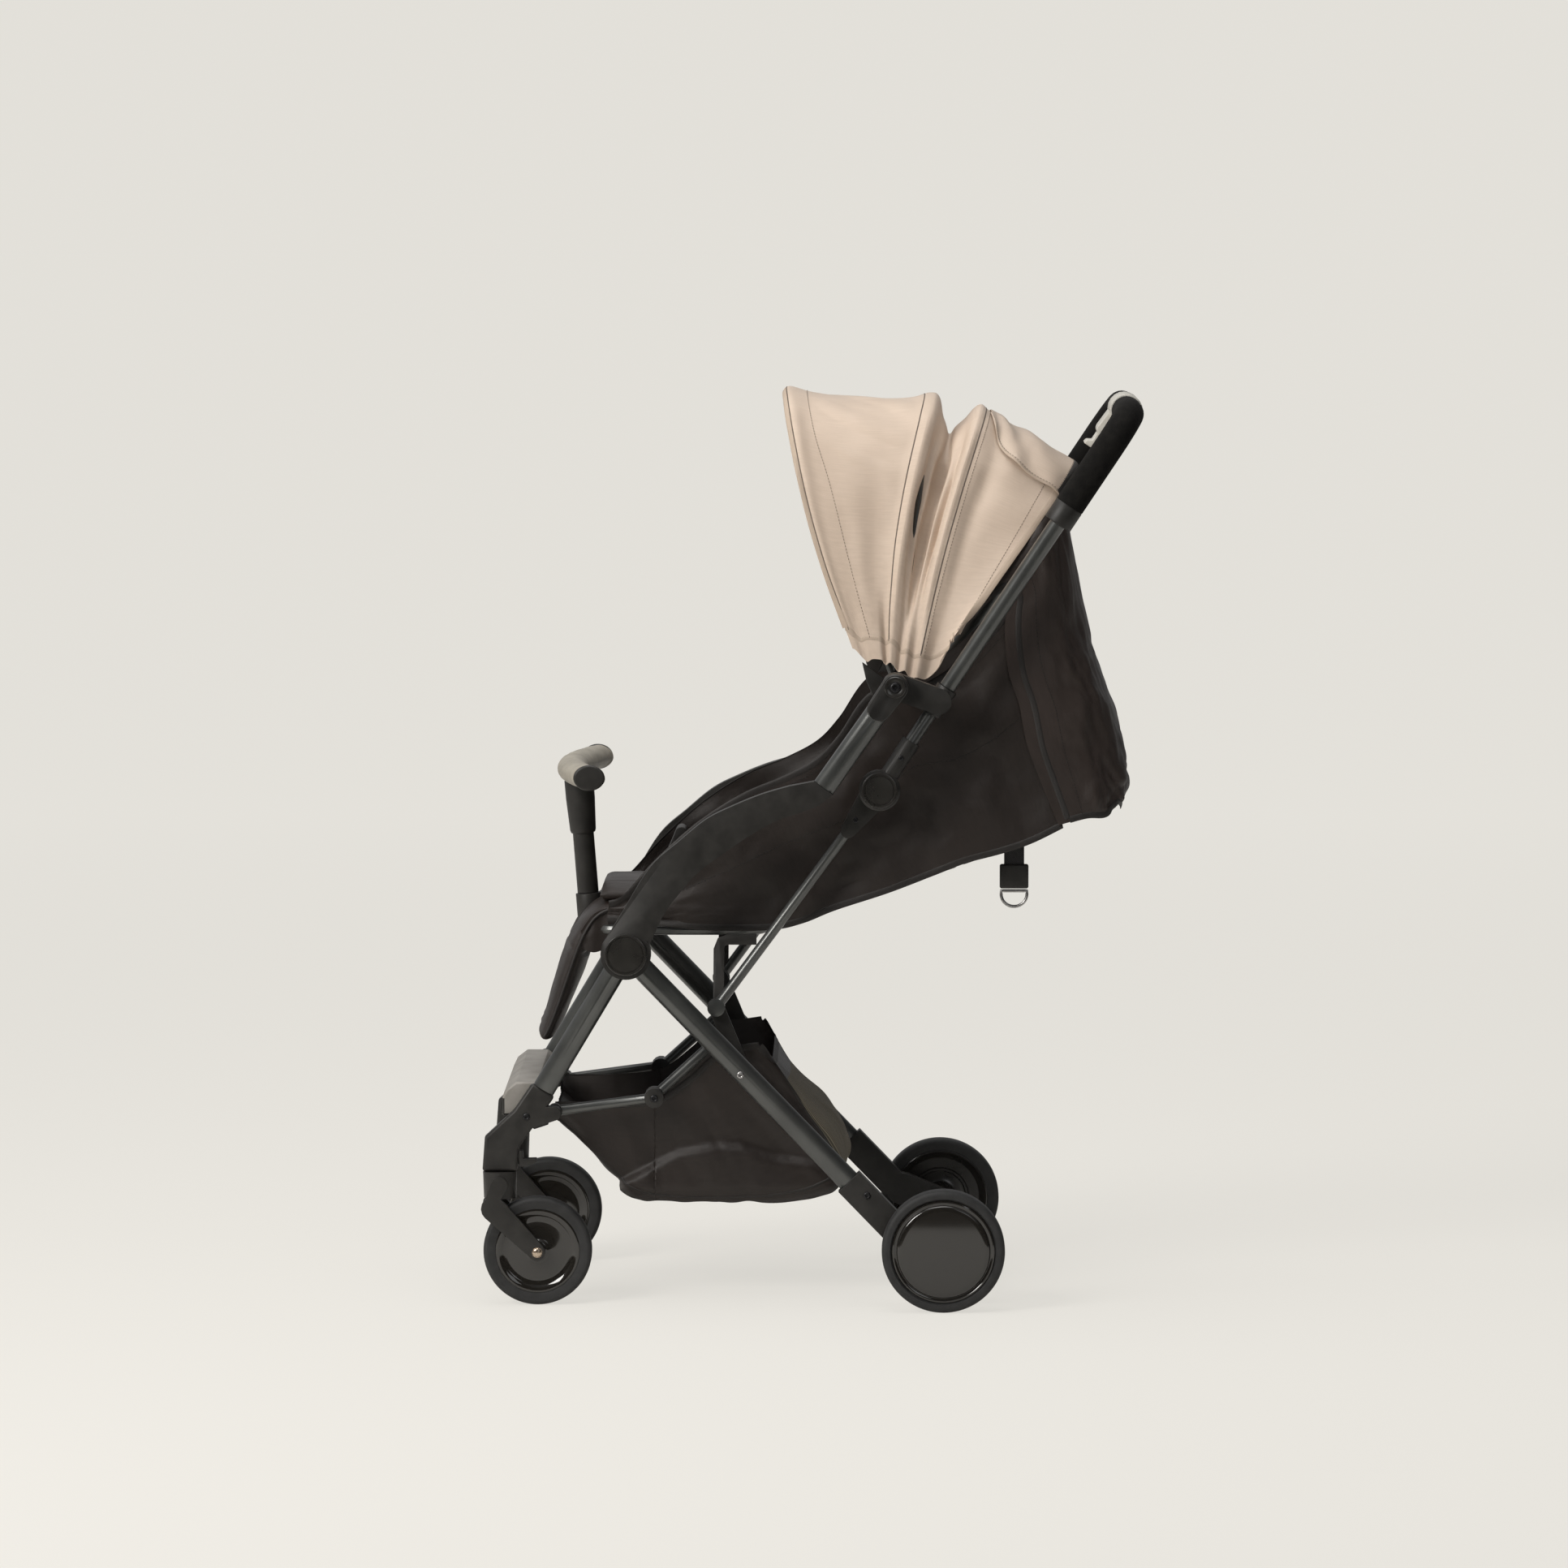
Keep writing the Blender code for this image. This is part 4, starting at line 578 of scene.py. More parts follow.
satin_cap = mottled("satin_cap_plastic", (0.020, 0.021, 0.022), 0.28, 0.0, (40.0, 3.0),
                    ((0.0135, 0.0125, 0.0108), (0.0215, 0.0198, 0.0172)), (0.22, 0.34),
                    Coat_Weight=0.35, Coat_Roughness=0.15)
zinc = mottled("zinc_plated_steel", (0.42, 0.42, 0.43), 0.32, 1.0, (900.0, 2.0, (1.0, 6.0, 1.0)),
               ((0.33, 0.32, 0.32), (0.50, 0.49, 0.48)), (0.24, 0.42))
black_oxide = mottled("black_oxide_steel", (0.020, 0.020, 0.021), 0.34, 0.7, (700.0, 2.0),
                      ((0.015, 0.015, 0.016), (0.034, 0.034, 0.036)), (0.28, 0.44))


def dome(x, rise, radius, steps):
    """A slightly domed face in a section, from its rim in to the axle."""
    return [(x + rise * (1 - (1 - i / steps) ** 2), radius * (1 - i / steps))
            for i in range(1, steps + 1)]


# A pressed disc's rim ring and groove: how far down from its face and in from its edge
CAP_STEPS = [(0.0014, 0.0), (0.0004, 0.0005), (0.0, 0.0014), (0.0002, 0.0026), (0.0012, 0.0032),
             (0.0012, 0.0041), (0.0004, 0.0048)]
CAP_RIM = 0.0048
CAP_RISE = 0.0010


def cap_section(face, radius, high):
    """A pressed disc: a raised rim ring, a shallow groove and a slightly domed middle."""
    section = [(face, 0.0), (face, radius)]
    section += [(face + high - down, radius - inward) for down, inward in CAP_STEPS]
    return section + dome(section[-1][0], CAP_RISE, radius - CAP_RIM, 8)


for side, s in SIDES.items():
    hub_disc = spun(f"hub_cap_{side}_disc", mirrored(cap_section(CAP_FACE, CAP_R, CAP_HIGH), s), HUB,
                    satin_cap, "frame")
    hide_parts(f"hub_cap_{side}")
    spun(f"knee_cap_{side}_disc", mirrored(cap_section(KNEE_FACE, KNEE_CAP_R, KNEE_CAP_HIGH), s),
         KNEE, satin_cap, "handle")


def screw(name, place, face, s, radius, body, finish=black_oxide):
    """A button-head screw with a hexagon socket, its head standing on a face."""
    high = radius * 0.45
    section = [(face - 0.0008, 0.0), (face - 0.0008, radius), (face + 0.0002, radius)]
    section += [(face + high * sin(pi / 2 * i / 6), radius * (0.55 + 0.45 * cos(pi / 2 * i / 6)))
                for i in range(1, 7)]
    section += [(face + high - 0.0002, radius * 0.46), (face + high * 0.35, radius * 0.44),
                (face + high * 0.30, 0.0)]
    return spun(name, mirrored(section, s), place, finish, body, 24, 28.0)


# The ring pressed in round the top hub's screw
TOP_RING = [(0.2092, 0.0072), (0.2092, 0.0122), (0.2108, 0.0122), (0.2114, 0.0116),
            (0.2114, 0.0096), (0.2104, 0.0072)]
# The screws: name, place, face that it stands on, radius, body, finish
UPPER_SCREWS = [("rear_leg", (-0.0820, 0.2670), 0.1915, 0.0042, "rear_frame", zinc),
                ("rear_bracket", (0.0623, 0.1290), 0.1915, 0.0042, "rear_frame", black_oxide),
                ("front_socket", (-0.3265, 0.2165), 0.1730, 0.0042, "front_frame", black_oxide),
                ("top_hub", TOP_HUB, 0.2100, 0.0062, "frame", black_oxide)]
LOWER_SCREWS = [("basket_knee", LINK_PIVOT, 0.1538, 0.0046, "basket_front", black_oxide),
                ("lower_housing", polar(KNEE, HANDLE_SLOPE, 0.0440), 0.1826, 0.0030, "handle",
                 black_oxide),
                ("strut_neck", (0.0490, 0.5555), 0.1603, 0.0030, "struts", black_oxide)]
for side, s in SIDES.items():
    for word, place, face, radius, body, finish in UPPER_SCREWS:
        screw(f"{word}_screw_{side}", place, face, s, radius, body, finish)
    spun(f"top_hub_ring_{side}", mirrored(TOP_RING, s), TOP_HUB, satin_cap, "frame")
    for word, place, face, radius, body, finish in LOWER_SCREWS:
        screw(f"{word}_screw_{side}", place, face, s, radius, body, finish)

# Rear wheels: a moulded disc with a foamed rubber tyre. The outer face is a smooth gloss dish with a
# raised ring, the inner face shows the hollow rim, its rings and the hub that turns on the axle.
REAR_AXLE = (0.1490, 0.0700)
REAR_R = 0.0700
REAR_INNER = 0.2050
REAR_OUTER = REAR_INNER + 0.0290
REAR_SHOULDER = 0.0055
# Steps of the outer side: how far in from the outer face, and how far in from the tread
TYRE_LIP = [(0.0014, 0.0092), (0.0040, 0.0110), (0.0060, 0.0125)]
DISC_STEPS = [(0.0052, 0.0124), (0.0040, 0.0112), (0.0026, 0.0120), (0.0022, 0.0136),
              (0.0034, 0.0156), (0.0034, 0.0166), (0.0012, 0.0180), (0.0004, 0.0196)]
# Steps of the inner side: how far in from the inner face, and the radius
RIM_STEPS = [(0.0, 0.0068), (0.0, 0.0140), (0.0025, 0.0152), (0.0125, 0.0185), (0.0140, 0.0215),
             (0.0140, 0.0300), (0.0122, 0.0312), (0.0122, 0.0338), (0.0140, 0.0350),
             (0.0140, 0.0465), (0.0120, 0.0490), (0.0030, 0.0540), (0.0016, 0.0550),
             (0.0022, 0.0562), (0.0200, 0.0564), (0.0200, 0.0068)]

rubber = mottled("foamed_rubber", (0.016, 0.016, 0.016), 0.68, 0.0, (90.0, 5.0),
                 ((0.011, 0.011, 0.011), (0.021, 0.021, 0.021)), (0.58, 0.78),
                 (1400.0, 3.0, 0.25, 0.0004))
gloss = mottled("gloss_wheel_plastic", (0.0130, 0.0115, 0.0095), 0.10, 0.0, (25.0, 4.0),
                gloss=(0.05, 0.09), Coat_Weight=0.5, Coat_Roughness=0.06)


def round_corner(x, radius, dx, dr, size, first, last, steps=6):
    """A quarter of a circle in a section: its centre, the way it opens, and its radius."""
    return [(x + dx * size * cos(first + (last - first) * i / steps),
             radius + dr * size * sin(first + (last - first) * i / steps)) for i in range(steps + 1)]


rear_tread = [(REAR_INNER + 0.0030, REAR_R - 0.0135)]
rear_tread += round_corner(REAR_INNER + 0.0012 + REAR_SHOULDER, REAR_R - REAR_SHOULDER, -1, 1,
                           REAR_SHOULDER, 0.0, pi / 2)
rear_tread += [((REAR_INNER + REAR_OUTER) / 2, REAR_R)]
rear_tread += round_corner(REAR_OUTER - 0.0012 - REAR_SHOULDER, REAR_R - REAR_SHOULDER, 1, 1,
                           REAR_SHOULDER, pi / 2, 0.0)
rear_tread += [(REAR_OUTER - x, REAR_R - radius) for x, radius in TYRE_LIP]
rear_dish = [(REAR_OUTER - DISC_STEPS[0][0], 0.0)]
rear_dish += [(REAR_OUTER - x, REAR_R - radius) for x, radius in DISC_STEPS]
rear_dish += dome(rear_dish[-1][0], 0.0005, rear_dish[-1][1], 12)
rear_rim = [(REAR_INNER + x, radius) for x, radius in RIM_STEPS]
for side, s in SIDES.items():
    for word, section, finish in (("tyre", rear_tread, rubber), ("disc", rear_dish, gloss),
                                  ("rim", rear_rim, satin_cap)):
        spun(f"rear_{word}_{side}", mirrored(section, s), REAR_AXLE, finish,
             f"rear_wheel_{side}", 96)
    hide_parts(f"rear_wheel_{side}")

# Front wheels: the same make on a smaller rim, held in the caster fork by a domed axle bolt.
FRONT_AXLE = (-0.3140, 0.0620)
FRONT_R = 0.0620
FRONT_X = 0.1640
FRONT_HALF = 0.0120
FRONT_SHOULDER = 0.0050
# Steps of the disc on both sides: how far out from the wheel's middle, and the radius
FRONT_FACE = [(0.0118, 0.0), (0.0118, 0.0105), (0.0112, 0.0120), (0.0094, 0.0134), (0.0086, 0.0150),
              (0.0076, 0.0240), (0.0070, 0.0330), (0.0070, 0.0390), (0.0080, 0.0405),
              (0.0098, 0.0440), (0.0102, 0.0462), (0.0098, 0.0478), (0.0080, 0.0484)]
half_tread = [(-FRONT_HALF + 0.0026, FRONT_R - 0.0138)]
half_tread += round_corner(-FRONT_HALF + 0.0006 + FRONT_SHOULDER, FRONT_R - FRONT_SHOULDER, -1, 1,
                           FRONT_SHOULDER, 0.0, pi / 2)
for side, s in SIDES.items():
    centre_x = s * FRONT_X
    tread = [(centre_x + x, radius) for x, radius in half_tread] + [(centre_x, FRONT_R)]
    tread += [(centre_x - x, radius) for x, radius in half_tread[::-1]]
    dish = [(centre_x + x, radius) for x, radius in FRONT_FACE]
    dish += [(centre_x - x, radius) for x, radius in FRONT_FACE[::-1]]
    for word, section, finish in (("tyre", tread, rubber), ("disc", dish, gloss)):
        spun(f"front_{word}_{side}", section, FRONT_AXLE, finish, f"front_wheel_{side}", 96)
    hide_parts(f"front_wheel_{side}")

bolt_steel = mottled("yellow_zinc_bolt", (0.50, 0.40, 0.30), 0.26, 1.0, (500.0, 2.0),
                     ((0.42, 0.33, 0.25), (0.60, 0.50, 0.40)), (0.18, 0.36))
FORK_FACE = FRONT_HALF + 0.0035 + 0.0070
BOLT_R = 0.0056
BOLT_HIGH = 0.0026
bolt_head = [(FORK_FACE - 0.0010, 0.0), (FORK_FACE - 0.0010, BOLT_R), (FORK_FACE + 0.0006, 0.0058)]
bolt_head += [(FORK_FACE + 0.0006 + BOLT_HIGH * sin(pi / 2 * i / 7), 0.0054 * cos(pi / 2 * i / 7))
              for i in range(8)]
for side, s in SIDES.items():
    for word, facing in (("outer", 1), ("inner", -1)):
        section = [(s * FRONT_X + facing * x, radius) for x, radius in bolt_head]
        spun(f"axle_bolt_{word}_{side}", section, FRONT_AXLE, bolt_steel,
             f"caster_{side}", 32)
    screw(f"swivel_screw_{side}", (-0.3630, 0.1310), FRONT_X + 0.0186, s, 0.0030, f"caster_{side}")

# Push handle: foam grips over the bent tube, in the middle the pale release housing and its
# trigger. The foam is a closed-cell sleeve, cut off square at the collar.
GRIP_BEND = 0.0450
GRIP_R = 0.0170
RELEASE_HALF = 0.0450

foam, foam_shader = new_finish("closed_cell_foam", (0.008, 0.0075, 0.007), 0.94)
foam_cells = cells_on(foam, 1100.0)
foam_cloud = noise_on(foam, 120.0, 5.0)
vary_color(foam, foam_shader, foam_cloud.outputs["Fac"], (0.0030, 0.0026, 0.0022),
           (0.0068, 0.0060, 0.0050))
foam_bump = add_bump(foam, foam_shader, foam_cells, 0.35, 0.0005)
add_bump(foam, foam_shader, foam_cloud.outputs["Fac"], 0.20, 0.0010, foam_bump)
foam_shader.inputs["Specular IOR Level"].default_value = 0.22


def handle_point(distance, shift=0.0):
    """A point down the handle's line from its top; shift is square to it, to the front."""
    return polar(polar(HANDLE_TOP, HANDLE_SLOPE + pi, distance), HANDLE_SLOPE + pi / 2, shift)


def swept(name, path, radius, finish, body, sides=10, closed=False):
    """A round bar, wire or sleeve along a path, with its ends closed."""
    start_clean()
    curve = bpy.data.curves.new(name, "CURVE")
    curve.dimensions = "3D"
    spline = curve.splines.new("POLY")
    spline.points.add(len(path) - 1)
    for spot, point in zip(spline.points, path):
        spot.co = (*point, 1.0)
    spline.use_cyclic_u = closed
    curve.bevel_depth = radius
    curve.bevel_resolution = sides
    curve.use_fill_caps = not closed
    piece = bpy.data.objects.new(name, curve)
    scene.collection.objects.link(piece)
    take(piece)
    bpy.ops.object.convert(target="MESH")
    piece = bpy.context.view_layer.objects.active
    edit_all(lambda: merge_points(0.00001), face_outward)
    return dressed(piece, finish, body, 40)


for side, s in SIDES.items():
    path = []
    for i in range(13):
        down = GRIP_LENGTH + (GRIP_BEND - GRIP_LENGTH) * i / 12
        path.append((s * HANDLE_X, *handle_point(down)))
    for i in range(1, 25):
        turn = pi / 2 * i / 24
        x = HANDLE_X - GRIP_BEND * (1 - cos(turn))
        path.append((s * x, *handle_point(GRIP_BEND * (1 - sin(turn)))))
    for i in range(1, 9):
        x = HANDLE_X - GRIP_BEND + (RELEASE_HALF + 0.0003 - HANDLE_X + GRIP_BEND) * i / 8
        path.append((s * x, *HANDLE_TOP))
    grip = swept(f"grip_{side}_foam", path, GRIP_R, foam, "handle", 14)
    round_edges(grip, 0.0022, 3, 50)
    bpy.ops.object.shade_smooth_by_angle(angle=radians(40))
    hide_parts(f"grip_{side}")

# The flared nylon collar that carries the foam's lower end
COLLAR_SECTION = [(-0.0010, 0.0098), (-0.0010, 0.0158), (0.0006, 0.0166), (0.0030, 0.0166),
                  (0.0046, 0.0158), (0.0215, 0.0124), (0.0228, 0.0112), (0.0228, 0.0098)]
handle_line = Vector((0.0, -cos(HANDLE_SLOPE), -sin(HANDLE_SLOPE)))
for side, s in SIDES.items():
    grip_end = Vector((s * HANDLE_X, *handle_point(GRIP_LENGTH)))
    collar = [grip_end + handle_line * along + Vector((radius, 0.0, 0.0))
              for along, radius in COLLAR_SECTION]
    turned(f"grip_collar_{side}", collar, grip_end, handle_line, nylon, "handle", 48)

pale_nylon = mottled("pale_grey_nylon", (0.50, 0.485, 0.43), 0.42, 0.0, (70.0, 3.0),
                     ((0.46, 0.445, 0.40), (0.55, 0.53, 0.475)), (0.36, 0.48),
                     (2200.0, 2.0, 0.12, 0.0002))
softened("release_housing", "release_housing_moulding", pale_nylon, 0.0030, 4)
softened("release_trigger", "release_trigger_moulding", pale_nylon, 0.0012, 3)

# Canopy: three panels of beige satin polyester, sewn together over three wire hoops, which lie in
# channels on the underside. The front one is drawn smooth, the cloth behind it hangs in folds.
CANOPY_HALF = 0.1420
CANOPY_SQUARENESS = 2.9
# Each rib: its top in the middle, its foot at the side, how far its middle bows, how far it sinks in
CANOPY_RIBS = [
    ((-0.0335, 1.0375), (0.0455, 0.7500), -0.0090, 0.0000),
    ((-0.0268, 1.0415), (0.0530, 0.7420), -0.0100, 0.0000),
    ((-0.0030, 1.0345), (0.0600, 0.7375), -0.0100, 0.0005),
    ((0.0240, 1.0310), (0.0670, 0.7365), -0.0105, 0.0010),
    ((0.0509, 1.0288), (0.0740, 0.7360), -0.0110, 0.0010),
    ((0.0850, 1.0275), (0.0790, 0.7350), -0.0115, 0.0060),
    ((0.1150, 1.0290), (0.0840, 0.7330), -0.0120, 0.0050),
    ((0.1345, 1.0340), (0.0884, 0.7320), -0.0110, 0.0000),
    ((0.1440, 1.0300), (0.0930, 0.7285), -0.0095, 0.0005),
    ((0.1508, 1.0050), (0.0972, 0.7255), -0.0080, 0.0060),
    ((0.1560, 0.9885), (0.1014, 0.7235), -0.0070, 0.0085),
    ((0.1646, 0.9960), (0.1056, 0.7225), -0.0070, 0.0060),
    ((0.1780, 1.0095), (0.1096, 0.7195), -0.0075, 0.0030),
    ((0.1915, 1.0200), (0.1136, 0.7165), -0.0080, 0.0000),
    ((0.2000, 1.0160), (0.1185, 0.7150), -0.0060, 0.0000),
    ((0.2147, 1.0060), (0.1280, 0.7170), -0.0040, 0.0020),
    ((0.2348, 0.9905), (0.1370, 0.7225), -0.0020, 0.0030),
    ((0.2650, 0.9720), (0.1455, 0.7320), 0.0000, 0.0020),
    ((0.3000, 0.9510), (0.1545, 0.7520), 0.0000, 0.0000),
]
LAST_RIB = len(CANOPY_RIBS) - 1
# Ribs over which a wire lifts the cloth, and ribs along which it falls in: depth and width of each
CANOPY_WIRES = (1.10, 7.30, 13.20)
CANOPY_CREASES = [(8.80, 0.0095, 0.48), (10.25, 0.0160, 0.66), (11.80, 0.0110, 0.55),
                  (15.30, 0.0050, 0.60)]
WIRE_RIDGE = 0.0022
WIRE_RIDGE_WIDE = 0.42
HEM_RUFFLE = 0.0042
HEM_WAVES = 5.5
EDGE_GUARD = 0.004


def rib_value(index, t):
    return curve_through([rib[index] if index < 2 else (rib[index],) for rib in CANOPY_RIBS], t)


def ease(value, low, high):
    """0 below low, 1 above high, and a smooth step between them."""
    share = min(max((value - low) / (high - low), 0.0), 1.0)
    return share * share * (3 - 2 * share)


def swell_at(value, middle, wide):
    return math.exp(-((value - middle) / wide) ** 2)


def canopy_point(u, v):
    """Across u over the top from side to side, along v from the front edge to the rear hem."""
    top = rib_value(0, v)
    foot = rib_value(1, v)
    bow = rib_value(2, v)[0]
    sunk = rib_value(3, v)[0]
    turn = pi * (u + 0.035 * sin(4 * pi * u))
    across, up = cos(turn), abs(sin(turn)) ** (2 / CANOPY_SQUARENESS)
    side = math.copysign(abs(across) ** (2 / CANOPY_SQUARENESS), across)
    pulled = sunk * sin(pi * min(1.0, up * 1.02)) ** 2
    x = side * (CANOPY_HALF - pulled)
    y = foot[0] + (top[0] - foot[0]) * up + bow * sin(pi * up)
    z = foot[1] + (top[1] - foot[1]) * up
    return Vector((x, y, z))


def surface_normal(surface, u, v, reach=0.003):
    across = surface(min(u + reach, 1.0), v) - surface(max(u - reach, 0.0), v)
    along = surface(u, min(v + reach, 1.0)) - surface(u, max(v - reach, 0.0))
    return across.cross(along).normalized()


def soft_fold(u, v, wide, tall, seed):
    return noise.noise(Vector((u * wide, v * tall, seed)))


def canopy_cloth(u, v):
    """The canopy with its folds: creases fan out of the notch behind the middle hoop."""
    rib = v * LAST_RIB
    up = abs(sin(pi * u)) ** (2 / CANOPY_SQUARENESS)
    wander = 0.9 * soft_fold(u, 0.0, 4.0, 1.0, 3.0)
    outward = -surface_normal(canopy_point, u, v)
    side_wall = ease(up, 0.12, 0.50) * (1 - 0.85 * ease(up, 0.90, 1.0))
    fall = -sum(depth * swell_at(rib + wander * (1 - up), middle, wide)
                * (1.0 + 0.9 * soft_fold(u, middle, 5.0, 1.0, 13.0))
                for middle, depth, wide in CANOPY_CREASES) * side_wall
    lift = sum(WIRE_RIDGE * swell_at(rib, wire, WIRE_RIDGE_WIDE) for wire in CANOPY_WIRES)
    lift *= ease(up, 0.0, 0.3) * (1 - ease(up, 0.90, 1.0))
    front = ease(rib, 1.6, 3.4) * (1 - ease(rib, 5.2, 6.6))
    rear = ease(rib, 13.4, 15.5)
    lean = rib / LAST_RIB * 2.2 + u * 3.4
    soft = front * max(0.0, 0.0130 * soft_fold(lean, u, 2.4, 2.2, 17.0))
    soft += rear * 0.0120 * soft_fold(u * 3.6 - rib * 0.10, v, 1.7, 5.0, 11.0) * (0.3 + 0.7 * up)
    soft += 0.0008 * (1 + soft_fold(u, v, 13.0, 13.0, 29.0)) * ease(up, 0.1, 0.4)
    hem = 1 - ease(min(u, 1 - u), 0.0, 0.045)
    wave = sin(2 * pi * (v * HEM_WAVES + 0.35 * soft_fold(u, v, 2.0, 9.0, 23.0)))
    ruffle = hem * HEM_RUFFLE * (0.6 + 0.6 * wave) * (0.35 + 0.65 * ease(rib, 1.5, 5.0))
    return (canopy_point(u, v) + outward * (fall + lift + soft + ruffle)
            + Vector((0.0, 0.0, 0.5 * hem * HEM_RUFFLE * wave)))


def woven(name, dark, light, roughness, sheen, pitch=0.0007, depth=0.30, mottle=9.0):
    """A fine plain weave on the cloth's own map: two crossing sets of threads, and slubs."""
    finish, shader = new_finish(name, light, roughness)
    cloth_map = add_node(finish, "ShaderNodeUVMap", uv_map="cloth_map").outputs["UV"]
    cloud = noise_on(finish, mottle, 5.0, (1.0, 1.0, 1.0))
    slubs = noise_on(finish, 500.0, 3.0, (1.0, 0.06, 1.0), cloth_map)
    blended = add_node(finish, "ShaderNodeMath", operation="MULTIPLY_ADD")
    blended.inputs[1].default_value = 0.35
    link(finish, slubs.outputs["Fac"], blended.inputs[0])
    scaled = add_node(finish, "ShaderNodeMath", operation="MULTIPLY")
    scaled.inputs[1].default_value = 0.65
    link(finish, cloud.outputs["Fac"], scaled.inputs[0])
    link(finish, scaled.outputs[0], blended.inputs[2])
    vary_color(finish, shader, blended.outputs[0], dark, light)
    split = add_node(finish, "ShaderNodeSeparateXYZ")
    link(finish, cloth_map, split.inputs[0])
    threads = []
    for axis in (0, 1):
        turns = add_node(finish, "ShaderNodeMath", operation="MULTIPLY")
        turns.inputs[1].default_value = 2 * pi / pitch
        link(finish, split.outputs[axis], turns.inputs[0])
        wave = add_node(finish, "ShaderNodeMath", operation="SINE")
        link(finish, turns.outputs[0], wave.inputs[0])
        threads.append(wave)
    crossed = add_node(finish, "ShaderNodeMath", operation="MULTIPLY")
    link(finish, threads[0].outputs[0], crossed.inputs[0])
    link(finish, threads[1].outputs[0], crossed.inputs[1])
    weave = add_bump(finish, shader, crossed.outputs[0], depth, 0.00015)
    crumple = noise_on(finish, 55.0, 4.0)
    add_bump(finish, shader, crumple.outputs["Fac"], 0.28, 0.0016, weave)
    shader.inputs["Sheen Weight"].default_value = sheen
    shader.inputs["Sheen Roughness"].default_value = 0.42
    return finish


beige_satin = woven("beige_satin", (0.490, 0.385, 0.300), (0.620, 0.500, 0.400), 0.48, 0.08)
beige_binding = woven("beige_binding", (0.40, 0.31, 0.235), (0.50, 0.40, 0.315), 0.58, 0.08)
charcoal_satin = woven("charcoal_satin", (0.0200, 0.0140, 0.0115), (0.0340, 0.0240, 0.0200),
                       0.40, 0.0)
# A darker copy of the charcoal satin: painted shade for the side panels, basket, leg rest, gussets and
# liner
charcoal_painted_shade = woven("charcoal_painted_shade", (0.0125, 0.0086, 0.0068), (0.0225, 0.0158, 0.0128),
                       0.42, 0.0)
charcoal_binding = woven("charcoal_binding", (0.0080, 0.0060, 0.0050), (0.0145, 0.0110, 0.0092),
                         0.55, 0.0)
for satin in (charcoal_satin, charcoal_painted_shade):
    satin.node_tree.nodes["Principled BSDF"].inputs["Specular IOR Level"].default_value = 0.40
beige_thread = mottled("sewing_thread", (0.24, 0.19, 0.15), 0.7, 0.0, (1800.0, 2.0),
                       ((0.18, 0.14, 0.11), (0.30, 0.24, 0.19)))
dark_thread = mottled("dark_thread", (0.010, 0.009, 0.008), 0.7, 0.0, (1800.0, 2.0),
                      ((0.008, 0.007, 0.006), (0.016, 0.014, 0.012)))


def within(value):
    return min(max(value, 0.0), 1.0)


def mapped_grid(name, surface, columns, rows, size):
    """A grid laid over a surface, its threads mapped in metres of its flat size."""
    start_clean()
    bpy.ops.mesh.primitive_grid_add(x_subdivisions=columns, y_subdivisions=rows, size=1.0,
                                    calc_uvs=True)
    piece = bpy.context.view_layer.objects.active
    piece.name = name
    for vertex in piece.data.vertices:
        vertex.co = surface(within(vertex.co.x + 0.5), within(vertex.co.y + 0.5))
    layer = piece.data.uv_layers[0]
    layer.name = "cloth_map"
    for spot in layer.data:
        spot.uv = (spot.uv[0] * size[0], spot.uv[1] * size[1])
    return piece


def cloth(name, surface, columns, rows, size, finish, body, thick=0.0012):
    """A cut of cloth laid over a surface, with its own thickness."""
    piece = mapped_grid(name, surface, columns, rows, size)
    shell = piece.modifiers.new("thickness", "SOLIDIFY")
    shell.thickness = thick
    shell.offset = 0.0
    finish_modifiers(piece)
    return dressed(piece, finish, body, 60)


def along_v(u, margin=0.0):
    """A path down a cloth at one u, which stops short of both ends by a margin."""
    return lambda t: (u, margin + (1 - 2 * margin) * t)


def along_u(v, margin=0.0):
    """A path across a cloth at one v."""
    return lambda t: (margin + (1 - 2 * margin) * t, v)


def path_normal(surface, u, v, outside):
    return surface_normal(surface, min(max(u, EDGE_GUARD), 1 - EDGE_GUARD),
                          min(max(v, EDGE_GUARD), 1 - EDGE_GUARD)) * outside


def tape(name, surface, path, wide, lift, outside, finish, body, steps=80):
    """A sewn binding: a flat tape that follows path(t) = (u, v) over a surface, on its outside."""
    def lying(across, along):
        u, v = path(along)
        start = surface(*path(max(along - EDGE_GUARD, 0.0)))
        end = surface(*path(min(along + EDGE_GUARD, 1.0)))
        normal = path_normal(surface, u, v, outside)
        cross = (end - start).normalized().cross(normal).normalized()
        bulge = lift * (1 - (2 * across - 1) ** 4)
        return surface(u, v) + cross * (across - 0.5) * wide + normal * bulge
    return cloth(name, lying, 6, steps, (wide, 1.0), finish, body, 0.0006)


STITCH_SIDES = 5
STITCH_SAMPLES = 400


def add_dash(bm, start, end, normal, dash, radius):
    """One stitch: a rounded dash of thread, wider than it is high, thinner at its ends."""
    way = (end - start).normalized()
    across = way.cross(normal).normalized()
    taper = way * dash * 0.2
    rings = []
    for spot, size in ((start, 0.5), (start + taper, 1.0), (end - taper, 1.0), (end, 0.5)):
        turns = [2 * pi * step / STITCH_SIDES for step in range(STITCH_SIDES)]
        rings.append([bm.verts.new(spot + (across * cos(turn) * 1.5 + normal * sin(turn))
                                   * radius * size) for turn in turns])
    for one, two in zip(rings, rings[1:]):
        for step in range(STITCH_SIDES):
            after = (step + 1) % STITCH_SIDES
            bm.faces.new((one[step], one[after], two[after], two[step]))
    bm.faces.new(rings[0][::-1])
    bm.faces.new(rings[-1])


